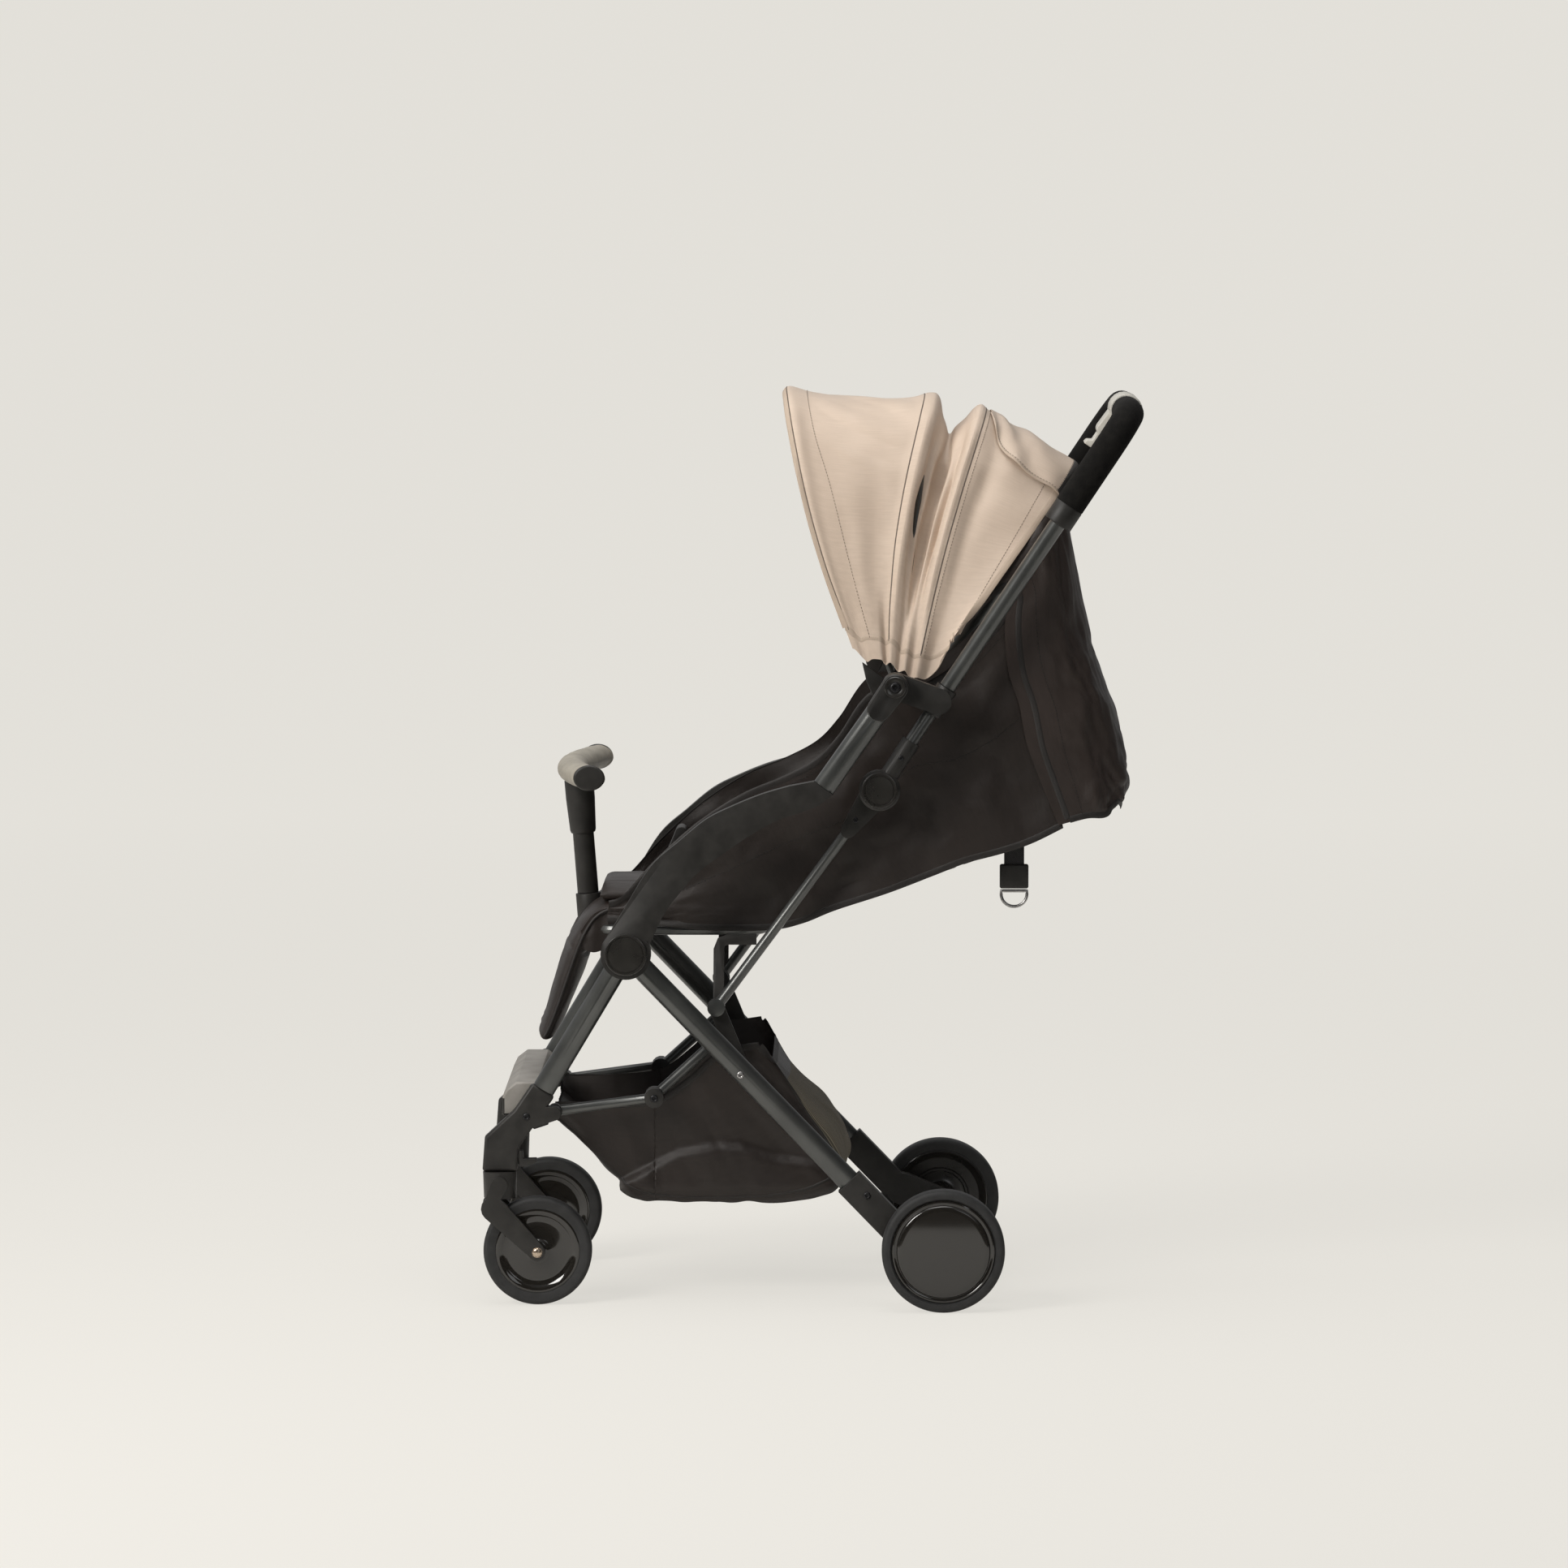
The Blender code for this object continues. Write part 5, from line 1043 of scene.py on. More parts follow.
def stitches(name, surface, path, outside, finish, body, pitch=0.0038, dash=0.0024,
             radius=0.00028, lift=0.0009):
    """A row of stitches: short rounded dashes of thread along path(t) over a surface."""
    start_clean()
    points = [surface(*path(i / STITCH_SAMPLES)) for i in range(STITCH_SAMPLES + 1)]
    reach = [0.0]
    for a, b in zip(points, points[1:]):
        reach.append(reach[-1] + (b - a).length)
    bm = bmesh.new()
    place = 0.0
    k = 0
    while place + dash < reach[-1]:
        ends = []
        for want in (place, place + dash):
            while k < STITCH_SAMPLES - 1 and reach[k + 1] < want:
                k += 1
            share = (want - reach[k]) / max(reach[k + 1] - reach[k], 1e-9)
            u, v = path((k + share) / STITCH_SAMPLES)
            normal = path_normal(surface, u, v, outside)
            ends.append((surface(u, v) + normal * lift, normal))
        add_dash(bm, ends[0][0], ends[1][0], ends[0][1], dash, radius)
        place += pitch
    bmesh.ops.recalc_face_normals(bm, faces=bm.faces)
    mesh = bpy.data.meshes.new(name)
    bm.to_mesh(mesh)
    bm.free()
    mesh.shade_smooth()
    piece = bpy.data.objects.new(name, mesh)
    scene.collection.objects.link(piece)
    return dressed(piece, finish, body, None)


CANOPY_FLAT = (0.800, 0.480)
CANOPY_OUTSIDE = -1


def hoop_line(rib):
    """The points of the cloth over a hoop, in side view, from foot to top."""
    spots = [canopy_point(0.5 * i / 20, rib / LAST_RIB) for i in range(21)]
    return [Vector((spot.y, spot.z)) for spot in spots]


def bend_between(front_body, rear_body, ribs, reach=None):
    """Two hoops' bodies and two points, square to the line that halves the angle between them.

    With reach the two points lie only that distance apart: after the first rib, or before the last
    one where reach is negative.
    """
    first, last = (hoop_line(rib) for rib in ribs)
    rise = (first[-1] - first[0]).normalized() + (last[-1] - last[0]).normalized()
    if reach is not None:
        rise = (last[-1] - last[0]) if reach < 0 else (first[-1] - first[0])
    square = Vector((rise.y, -rise.x)).normalized()
    start = max(spot.dot(square) for spot in first)
    end = min(spot.dot(square) for spot in last)
    if reach is not None:
        start, end = (end + reach, end) if reach < 0 else (start, start + reach)
    return (front_body, rear_body, (0.0, *(square * start)), (0.0, *(square * end)))


# Each panel: its name, the ribs that it runs between, and the bodies and points of a bend between the
# hoops
PANEL_REACH = 0.075
CANOPY_PANELS = [
    ("front", (0.0, CANOPY_WIRES[1]),
     bend_between("canopy_front", "canopy_middle", CANOPY_WIRES[:2], -PANEL_REACH)),
    ("middle", CANOPY_WIRES[1:], bend_between("canopy_middle", "canopy_rear", CANOPY_WIRES[1:])),
    ("rear", (CANOPY_WIRES[2], LAST_RIB),
     bend_between("canopy_rear", "frame", (CANOPY_WIRES[2], LAST_RIB), PANEL_REACH)),
]
FRONT_BEND = CANOPY_PANELS[0][2]
REAR_BEND = CANOPY_PANELS[2][2]
for word, (first, last), bend in CANOPY_PANELS:
    def panel_surface(u, v, first=first, last=last):
        return canopy_cloth(u, (first + (last - first) * v) / LAST_RIB)

    cloth(f"canopy_{word}_panel", panel_surface, 170,
                                round(12 * (last - first)),
                                (CANOPY_FLAT[0], CANOPY_FLAT[1] * (last - first) / LAST_RIB),
                                beige_satin, bend)
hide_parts("canopy")

# Seams of the canopy: painted seam shadow as thin dark tapes beside the hoops, two rows of
# stitching, a bound front edge and hem, and a loose flap over the back, bound along its lower
# edge, that hangs to the collars.
seam_shadow = mottled("seam_shadow", (0.12, 0.095, 0.075), 0.8, 0.0, (700.0, 3.0),
                      ((0.09, 0.07, 0.055), (0.16, 0.125, 0.10)))


def at_rib(rib):
    return along_u(rib / LAST_RIB, 0.006)


front_trim, rear_trim = [], []
# The thin seam tapes are painted shadow along the seams; the front edge and rear hem are bindings
for word, rib, wide, finish, trim, bend in (
        ("front_edge", 0.12, 0.0070, beige_binding, front_trim, FRONT_BEND),
        ("front_seam", 0.66, 0.0013, seam_shadow, front_trim, FRONT_BEND),
        ("middle_seam", 6.62, 0.0015, seam_shadow, front_trim, FRONT_BEND),
        ("rear_seam", 13.85, 0.0015, seam_shadow, rear_trim, REAR_BEND),
        ("rear_hem", 17.85, 0.0080, beige_binding, rear_trim, REAR_BEND)):
    trim.append(tape(f"canopy_{word}", canopy_cloth, at_rib(rib), wide, 0.0007, CANOPY_OUTSIDE,
                     finish, bend, 150))


def front_stitch(t):
    """The front channel's stitching, which leaves the wire towards the feet of the canopy."""
    return 0.006 + 0.988 * t, (1.8 + 1.7 * (1 - sin(pi * t) ** 0.7)) / LAST_RIB


for word, path, trim, bend in (("front", front_stitch, front_trim, FRONT_BEND),
                               ("rear", at_rib(14.25), rear_trim, REAR_BEND),
                               ("hem", at_rib(17.40), rear_trim, REAR_BEND)):
    trim.append(stitches(f"canopy_stitch_{word}", canopy_cloth, path, CANOPY_OUTSIDE,
                         beige_thread, bend))

# Bound hems along both sides of each panel
for word, (first, last), bend in CANOPY_PANELS:
    hems = []
    for side, u in (("near", 0.994), ("far", 0.006)):
        def hem_path(t, u=u, first=first, last=last):
            return u, (first + (last - first) * t) / LAST_RIB

        hems.append(tape(f"canopy_hem_{word}_{side}", canopy_cloth, hem_path, 0.0060, 0.0006,
                         CANOPY_OUTSIDE, beige_binding, bend, 60))
    trim = {"front": front_trim, "middle": [], "rear": rear_trim}[word] + hems
    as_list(trim)

FLAP_START = 14.3
# How far over the canopy the flap's rounded side runs, from its sewn edge to its loose one
FLAP_SIDE = [(0.470,), (0.410,), (0.372,), (0.350,), (0.336,), (0.329,), (0.325,), (0.322,)]


def flap_surface(u, v):
    """A loose cover sewn behind the rear hoop, that hangs past the hem towards the handle."""
    side = curve_through(FLAP_SIDE, v)[0]
    across = side + (1 - 2 * side) * u
    along = (FLAP_START + (LAST_RIB - FLAP_START) * v) / LAST_RIB
    outward = -surface_normal(canopy_point, across, along)
    wave = 0.0016 * sin(2 * pi * (2.5 * v + 1.7 * u)) + 0.0016 * soft_fold(u, v, 4.0, 6.0, 31.0)
    lifted = 0.0026 + 0.0034 * sin(pi * v) + wave * ease(v, 0.0, 0.2)
    return canopy_cloth(across, along) + outward * lifted


flap = cloth("canopy_flap", flap_surface, 70, 50, (0.300, 0.150), beige_satin,
             REAR_BEND)
for word, path in (("near", along_v(0.975)), ("far", along_v(0.025)), ("low", along_u(0.955))):
    stitches(f"flap_stitch_{word}", flap_surface, path, CANOPY_OUTSIDE, beige_thread,
                              REAR_BEND)
tape("flap_binding_low", flap_surface, along_u(0.988, 0.004), 0.0060, 0.0009,
                      CANOPY_OUTSIDE, charcoal_binding, REAR_BEND, 120)
for word, u in (("near", 0.990), ("far", 0.010)):
    tape(f"flap_binding_{word}", flap_surface, lambda t, u=u: (u, 0.004 + 0.99 * t),
                          0.0030, 0.0007, CANOPY_OUTSIDE, beige_binding, REAR_BEND, 60)

# The gusset that closes the canopy's foot over the top hub, a moulded black tab on each side
GUSSET = [(0.0560, 0.7345), (0.0818, 0.7158), (0.0699, 0.6920), (0.0610, 0.7120)]
GUSSET_INNER = 0.1365
GUSSET_OUTER = 0.1405
for side, s in SIDES.items():
    moulding(f"canopy_gusset_{side}", GUSSET, s * GUSSET_INNER, s * GUSSET_OUTER, nylon,
             "frame", 0.0012, 3)

# Rear apron: a loose curtain of charcoal satin, sewn under the canopy's hem, gathered round the back
# of the seat and closed below the backrest. It hangs in soft vertical folds to a scalloped hem.
APRON_HALF = 0.1314
APRON_EDGE = [(0.2700, 0.8900), (0.2300, 0.8150), (0.2190, 0.7800), (0.2225, 0.7250),
              (0.2350, 0.6850), (0.2440, 0.6400), (0.2600, 0.5970), (0.2805, 0.5470)]
APRON_BACK = [(0.2870, 0.8950), (0.3000, 0.8390), (0.3142, 0.7647), (0.3283, 0.7219),
              (0.3452, 0.6735), (0.3590, 0.6150), (0.3625, 0.5860), (0.3560, 0.5680)]
APRON_RIB = 17.70
APRON_TUCK = 0.975
APRON_OUTSIDE = -1


def apron_point(u, v):
    edge = curve_through(APRON_EDGE, v)
    back = curve_through(APRON_BACK, v)
    turn = pi * u
    out = abs(sin(turn)) ** 0.5
    x = APRON_HALF * math.copysign(abs(cos(turn)) ** 0.5, cos(turn))
    scallop = 0.0055 * ease(v, 0.80, 1.0) * cos(2 * pi * 3.5 * u) * min(1.0, 5 * min(u, 1 - u))
    hanging = Vector((x, edge[0] + (back[0] - edge[0]) * out,
                      edge[1] + (back[1] - edge[1]) * out + scallop))
    under_hem = canopy_point(u, APRON_RIB / LAST_RIB)
    under_hem.x *= APRON_TUCK
    return under_hem.lerp(hanging, ease(v, -0.10, 0.20))


def apron_cloth(u, v):
    drift = 0.03 * soft_fold(u, v, 3.0, 4.0, 5.0)
    deep = 0.0085 * soft_fold(u + drift, v, 11.0, 2.4, 41.0) * (0.35 + 0.65 * v)
    deep += 0.0048 * soft_fold(u + 0.5 * v, v + drift, 7.0, 6.0, 43.0)
    deep += 0.0018 * soft_fold(u, v, 24.0, 17.0, 47.0)
    calm = min(1.0, 8 * min(u, 1 - u) + 0.10) * (1 - 0.6 * ease(v, 0.93, 1.0))
    return apron_point(u, v) - surface_normal(apron_point, u, v) * deep * calm


apron = cloth("rear_apron_cloth", apron_cloth, 150, 120, (0.500, 0.360), charcoal_satin,
              "frame")
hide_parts("rear_apron")
for word, path in (("near", along_v(0.992, 0.02)), ("far", along_v(0.008, 0.02)),
                   ("low", along_u(0.985, 0.01))):
    tape(f"apron_binding_{word}", apron_cloth, path, 0.0080, 0.0008, APRON_OUTSIDE,
                           charcoal_binding, "frame", 110)
for word, u in (("near", 0.955), ("far", 0.045)):
    stitches(f"apron_stitch_{word}", apron_cloth, along_v(u, 0.02), APRON_OUTSIDE,
                               dark_thread, "frame")

# Side panels: charcoal satin from the seat's edge up to the canopy, bound along the upper and lower
# edges and drawn into soft diagonal creases where the cloth is pulled at its corners.
PANEL_LOW = [(-0.2360, 0.4380), (-0.1720, 0.4337), (-0.1149, 0.4284), (-0.0470, 0.4284),
             (-0.0113, 0.4357), (0.0244, 0.4500), (0.0850, 0.4699), (0.1378, 0.4900),
             (0.1750, 0.5040), (0.2163, 0.5152), (0.2507, 0.5268), (0.2860, 0.5440)]
PANEL_HIGH = [(-0.2330, 0.4560), (-0.2150, 0.4640), (-0.1790, 0.5042), (-0.1309, 0.5485),
              (-0.0796, 0.5817), (-0.0319, 0.6020), (0.0048, 0.6222), (0.0304, 0.6498),
              (0.0670, 0.6990), (0.1250, 0.7080), (0.1800, 0.7450), (0.2240, 0.7950)]
PANEL_X = 0.1280


def panel_cloth(s):
    def surface(u, v):
        low = curve_through(PANEL_LOW, u)
        high = curve_through(PANEL_HIGH, u)
        lean = 0.25 * soft_fold(u, v, 3.0, 2.0, 51.0)
        crease = 0.0060 * soft_fold(u + 0.16 * v + 0.05 * lean, v, 9.0, 1.8, 53.0 + s)
        crease += 0.0032 * soft_fold(u - 0.3 * v, v, 6.0, 4.0, 57.0)
        crease += 0.0014 * soft_fold(u, v, 22.0, 9.0, 59.0)
        calm = min(1.0, 7 * min(v, 1 - v) + 0.08) * min(1.0, 9 * min(u, 1 - u) + 0.10)
        out = min(0.0010, crease * calm - 0.0012 * sin(pi * v))
        return Vector((s * (PANEL_X + out), low[0] + (high[0] - low[0]) * v,
                       low[1] + (high[1] - low[1]) * v))
    return surface


for side, s in SIDES.items():
    panel = cloth(f"side_panel_{side}_cloth", panel_cloth(s), 150, 60, (0.560, 0.200), charcoal_painted_shade,
                  "frame")
    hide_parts(f"side_panel_{side}")
    trim = [tape(f"side_panel_{side}_binding_{word}", panel_cloth(s), along_u(v, 0.004), 0.0080,
                 0.0009, s, charcoal_binding, "frame", 140)
            for word, v in (("high", 0.985), ("low", 0.015))]
    trim += [stitches(f"side_panel_{side}_stitch_{word}", panel_cloth(s), along_u(v, 0.01), s,
                      dark_thread, "frame")
             for word, v in (("high", 0.935), ("seam", 0.560))]
    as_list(trim)

# Basket: a bag of charcoal satin hung from the folding links, deeper at the back, with a bound rim,
# a fold where each side wall sags over the floor, and a panel of striped net bulging at the back.
BASKET_PATH = [(-0.2954, 0.2080), (-0.2526, 0.1697), (-0.2148, 0.1330), (-0.1805, 0.1185),
               (-0.1375, 0.1125), (-0.0861, 0.1125), (-0.0432, 0.1155), (0.0080, 0.1270),
               (0.0340, 0.1500), (0.0000, 0.2060), (-0.0460, 0.2740)]
BASKET_RIM = [(-0.2960, 0.2250), (-0.2400, 0.2280), (-0.1812, 0.2350), (-0.1440, 0.2610),
              (-0.1124, 0.2900), (-0.0620, 0.2940)]
BASKET_HALF = 0.1245
BASKET_WALL = 0.62
BASKET_LOBE = [(-0.2300, 0.1300), (-0.2077, 0.1425), (-0.1543, 0.1705), (-0.1160, 0.1792),
               (-0.0819, 0.1771), (-0.0436, 0.1642), (0.0118, 0.1579), (0.0400, 0.1560)]
LOBE_BULGE = 0.0130
NET_START = 0.765
NET_END = 0.955
NET_BULGE = 0.0190
NET_SIDE = 0.17
BASKET_OUTSIDE = -1
BASKET_CUT = (0.420, 0.560)


def basket_point(u, v):
    across = 2 * u - 1
    floor = curve_through(BASKET_PATH, v)
    rim = curve_through(BASKET_RIM, v)
    climb = max(0.0, (abs(across) - BASKET_WALL) / (1 - BASKET_WALL)) ** 1.5
    middle = 1 - min(1.0, abs(across) / BASKET_WALL) ** 2
    sag = 0.006 * middle * sin(pi * min(v * 1.3, 1.0))
    bulge = NET_BULGE * middle * sin(pi * ease(v, NET_START - 0.03, 1.0) * 0.98)
    reach = min(1.0, abs(across) / BASKET_WALL) ** 0.9
    x = BASKET_HALF * math.copysign(reach, across) * (0.90 + 0.10 * climb)
    return Vector((x, floor[0] + (rim[0] - floor[0]) * climb + bulge * 0.80,
                   floor[1] + (rim[1] - floor[1]) * climb - sag + bulge * 0.45))


def lobe_height(y):
    """How high the fold on the basket's wall runs at a place along the stroller."""
    for a, b in zip(BASKET_LOBE, BASKET_LOBE[1:]):
        if y <= b[0]:
            return a[1] + (b[1] - a[1]) * (y - a[0]) / (b[0] - a[0])
    return BASKET_LOBE[-1][1]


def basket_cloth(u, v):
    spot = basket_point(u, v)
    drift = 0.04 * soft_fold(u, v, 3.0, 3.0, 61.0)
    deep = 0.0060 * soft_fold(u + drift, v + drift, 3.0, 11.0, 63.0)
    deep += 0.0040 * soft_fold(u, v, 7.0, 8.0, 67.0) + 0.0014 * soft_fold(u, v, 22.0, 26.0, 69.0)
    wall = ease(abs(2 * u - 1), BASKET_WALL * 0.75, BASKET_WALL)
    below = ease(lobe_height(spot.y) + 0.003 - spot.z, 0.0, 0.009) * ease(spot.z, 0.105, 0.135)
    deep += LOBE_BULGE * wall * below * ease(v, 0.10, 0.25) * (1 - ease(v, 0.68, 0.80))
    calm = min(1.0, 6 * min(u, 1 - u) + 0.08) * min(1.0, 12 * (1 - v) + 0.08)
    return spot - surface_normal(basket_point, u, v) * deep * calm


basket = cloth("basket_cloth", basket_cloth, 150, 150, BASKET_CUT, charcoal_painted_shade,
               "basket_front")

# The net is knitted in bands of olive-beige yarn, in the same cut as the basket's rear wall
striped_net, net_shader = new_finish("striped_net", (0.10, 0.092, 0.066), 0.75)
net_map = add_node(striped_net, "ShaderNodeUVMap", uv_map="cloth_map").outputs["UV"]
net_bands = add_node(striped_net, "ShaderNodeTexWave", wave_type="BANDS", bands_direction="X",
                     Scale=95.0, Distortion=0.6)
link(striped_net, net_map, net_bands.inputs["Vector"])
net_holes = add_node(striped_net, "ShaderNodeTexVoronoi", Scale=850.0)
link(striped_net, net_map, net_holes.inputs["Vector"])
net_mix = add_node(striped_net, "ShaderNodeMath", operation="MULTIPLY")
link(striped_net, net_bands.outputs["Fac"], net_mix.inputs[0])
link(striped_net, net_holes.outputs["Distance"], net_mix.inputs[1])
vary_color(striped_net, net_shader, net_bands.outputs["Fac"], (0.060, 0.050, 0.036),
           (0.190, 0.165, 0.115))
add_bump(striped_net, net_shader, net_mix.outputs[0], 0.6, 0.0006)
basket.data.materials.append(striped_net)
for face in basket.data.polygons:
    corner = basket.data.uv_layers["cloth_map"].data[face.loop_indices[0]].uv
    if (NET_START < corner.y / BASKET_CUT[1] < NET_END
            and NET_SIDE < corner.x / BASKET_CUT[0] < 1 - NET_SIDE):
        face.material_index = 1

basket_trim = []
for word, path in (("near", along_v(0.994, 0.004)), ("far", along_v(0.006, 0.004)),
                   ("front", along_u(0.006, 0.01)), ("rear", along_u(0.994, 0.01))):
    basket_trim.append(tape(f"basket_binding_{word}", basket_cloth, path, 0.0090, 0.0011, BASKET_OUTSIDE,
                            charcoal_binding, "basket_front", 120))
for word, u in (("near", 0.830), ("far", 0.170)):
    basket_trim.append(tape(f"basket_seam_{word}", basket_cloth, along_v(u, 0.01), 0.0030, 0.0009,
                            BASKET_OUTSIDE, charcoal_binding, "basket_front", 150))

# The bag hangs from the folding links and folds with them: its front half goes with the front
# links and its rear half with the rear ones.
CUT_POINT = Vector((0.0, *LINK_PIVOT))
# Each half: the length and the area that it was cut to, and the slope of the links over it
BASKET_HALVES = {"front": (0.200, 0.053, 0.0), "rear": (0.450, 0.153, 0.42)}


def half_bag(piece, word):
    """Cuts a piece of the bag across at the links' pivot, and keeps its front or its rear half."""
    start_clean()
    half = piece.copy()
    half.data = piece.data.copy()
    half.name = f"{piece.name}_{word}"
    scene.collection.objects.link(half)
    bpy.context.view_layer.objects.active = half
    half.select_set(True)
    edit_all(lambda: bpy.ops.mesh.bisect(plane_co=CUT_POINT, plane_no=(0.0, 1.0, 0.0), use_fill=True,
                                         clear_outer=word == "front", clear_inner=word == "rear"))
    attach(half, f"basket_{word}")
    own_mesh(half)
    return half


for word, (length, area, slope) in BASKET_HALVES.items():
    bag = half_bag(basket, word)
    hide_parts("basket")
    far_end = "basket_binding_rear" if word == "front" else "basket_binding_front"
    halves = [half_bag(trim, word) for trim in basket_trim if trim.name != far_end]
for piece in [basket, *basket_trim]:
    bpy.data.objects.remove(piece)

# Seat and backrest: charcoal satin over foam on the seat's tube loop. Each pad is sewn into
# lengthwise channels and swells between its seams; the cover is blown up as cloth and then stitched.
SEAM_WIDE = 0.0035


def stuffed(node, name, finish, body, seams, shrink=0.0015, puff=0.0060, voxel=0.0045,
            groove=0.0028):
    """A stuffed pad: the pad's own block, blown up as cloth, then drawn in along its seams."""
    piece = copied(node, name)
    edit_all(merge_points, face_outward)
    blocks = piece.modifiers.new("blocks", "REMESH")
    blocks.mode = "VOXEL"
    blocks.voxel_size = voxel
    finish_modifiers(piece)
    normals = [vertex.normal.copy() for vertex in piece.data.vertices]
    for vertex, normal in zip(piece.data.vertices, normals):
        vertex.co -= normal * shrink
    start = [vertex.co.copy() for vertex in piece.data.vertices]
    swell = piece.modifiers.new("swell", "CLOTH")
    swell.settings.use_pressure = True
    swell.settings.uniform_pressure_force = 4.0
    swell.settings.effector_weights.gravity = 0.0
    swell.point_cache.frame_start = 1
    swell.point_cache.frame_end = 20
    for step in range(1, 21):
        scene.frame_set(step)
    finish_modifiers(piece)
    scene.frame_set(1)
    for vertex, spot in zip(piece.data.vertices, start):
        moved = vertex.co - spot
        if moved.length > puff:
            vertex.co = spot + moved.normalized() * puff
    smoother = piece.modifiers.new("finer", "SUBSURF")
    smoother.levels = 1
    smoother.render_levels = 1
    finish_modifiers(piece)
    normals = [vertex.normal.copy() for vertex in piece.data.vertices]
    for vertex, normal in zip(piece.data.vertices, normals):
        near = min(seam(vertex.co) for seam in seams)
        drawn = groove * math.exp(-(near / SEAM_WIDE) ** 2)
        crumple = 0.0009 * noise.noise(vertex.co * 34.0) + 0.0004 * noise.noise(vertex.co * 90.0)
        vertex.co += normal * (crumple - drawn)
    flat = piece.data.uv_layers.new(name="cloth_map")
    for face in piece.data.polygons:
        for corner in face.loop_indices:
            spot = piece.data.vertices[piece.data.loops[corner].vertex_index].co
            flat.data[corner].uv = (spot.x, spot.y + 0.6 * spot.z)
    dressed(piece, finish, body, 80)
    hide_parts(node)


def channel(x):
    return lambda spot: abs(spot.x - x)


SEAT_CHANNELS = (-0.0631, 0.0, 0.0631)
BACK_CHANNELS = (-0.0530, 0.0, 0.0530)
SEAT_SEAM = -0.1420
stuffed("seat_pad", "seat_pad_pillow", charcoal_satin, "frame",
        [channel(x) for x in SEAT_CHANNELS] + [lambda spot: abs(spot.y - SEAT_SEAM) + 0.0005])
# The backrest's cross seams, as distances up from its hinge
BACK_SEAMS = (0.120, 0.235)
BACK_SLOPE = radians(19.0)
BACK_HINGE = (-0.0560, 0.4255)


def back_place(spot):
    """How far up the backrest a point lies, and how high over its face."""
    reach = Vector((spot.y - BACK_HINGE[0], spot.z - BACK_HINGE[1]))
    along = Vector((cos(BACK_SLOPE), sin(BACK_SLOPE)))
    return reach.dot(along), reach.dot(Vector((-along.y, along.x)))


def back_seam(reach):
    return lambda spot: abs(back_place(spot)[0] - reach) + 0.0005


stuffed("backrest_pad", "backrest_pad_pillow", charcoal_satin, "backrest",
        [channel(x) for x in BACK_CHANNELS] + [back_seam(reach) for reach in BACK_SEAMS])

# Leg rest and seat liner: the leg rest is one padded roll that wraps the seat's front tube and hangs
# down to its piped hem, with a slot for the bumper's post. The liner is a loose crowned pad.
ROLL_PATH = [(-0.2120, 0.4490, 0.0080), (-0.2300, 0.4490, 0.0095), (-0.2470, 0.4410, 0.0108),
             (-0.2585, 0.4260, 0.0125), (-0.2690, 0.4040, 0.0150), (-0.2790, 0.3760, 0.0152),
             (-0.2900, 0.3440, 0.0132), (-0.3010, 0.3150, 0.0112), (-0.3095, 0.2985, 0.0100)]
ROLL_HALF = 0.1170
ROLL_SEAM = 0.52
POST_SLOT_HALF = 0.0145
POST_SLOT_DEEP = 0.0125


def wrapped(name, surface, around, along, size, finish, body, angle=50.0):
    """A closed skin: u runs round it and meets itself, v runs from one end to the other."""
    piece = mapped_grid(name, surface, around, along, size)
    edit_all(merge_points, lambda: bpy.ops.mesh.fill_holes(sides=0), face_outward)
    return dressed(piece, finish, body, angle)


def rounded_end(v, share):
    """Full in the middle of a pad and falling to nothing, as a quarter circle, at both ends."""
    return math.sqrt(max(0.0, 1 - (1 - min(1.0, min(v, 1 - v) / share)) ** 2))


def oblong(turn, squareness):
    """A point on a rounded oblong of size 1, at an angle."""
    across = math.copysign(abs(cos(turn)) ** (2 / squareness), cos(turn))
    return across, math.copysign(abs(sin(turn)) ** (2 / squareness), sin(turn))


def roll_skin(u, v):
    y, z, half = curve_through(ROLL_PATH, v)
    y1, z1 = curve_through(ROLL_PATH, max(v - 0.01, 0.0))[:2]
    y2, z2 = curve_through(ROLL_PATH, min(v + 0.01, 1.0))[:2]
    way = Vector((y2 - y1, z2 - z1)).normalized()
    front = Vector((way.y, -way.x))
    across, out = oblong(2 * pi * u, 3.2)
    x = across * ROLL_HALF * (1 - 0.03 * (1 - rounded_end(v, 0.05)))
    puff = 1 - 0.16 * sum(swell_at(x, place, SEAM_WIDE) for place in BACK_CHANNELS)
    puff -= 0.20 * swell_at(v, ROLL_SEAM, 0.012)
    thick = half * (0.15 + 0.85 * rounded_end(v, 0.05)) * puff
    crumple = 0.0016 * noise.noise(Vector((x * 26.0, v * 9.0, out))) * abs(out)
    slot = POST_SLOT_DEEP * math.exp(-(x / POST_SLOT_HALF) ** 6) * ease(v, 0.14, 0.22)
    slot *= 1 - ease(v, 0.42, 0.50)
    over = out * thick + crumple - (slot if out > 0 else 0.0)
    return Vector((x, y + front.x * over, z + front.y * over))


roll = wrapped("calf_rest_roll", roll_skin, 110, 100, (0.470, 0.230), charcoal_painted_shade,
               "frame")
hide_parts("calf_rest")
for side, s in SIDES.items():
    edge = [(s * (ROLL_HALF + 0.0008), *curve_through(ROLL_PATH, 0.03 + 0.94 * i / 60)[:2])
            for i in range(61)]
    swept(f"calf_piping_{side}", edge, 0.0018, charcoal_binding, "frame", 5)

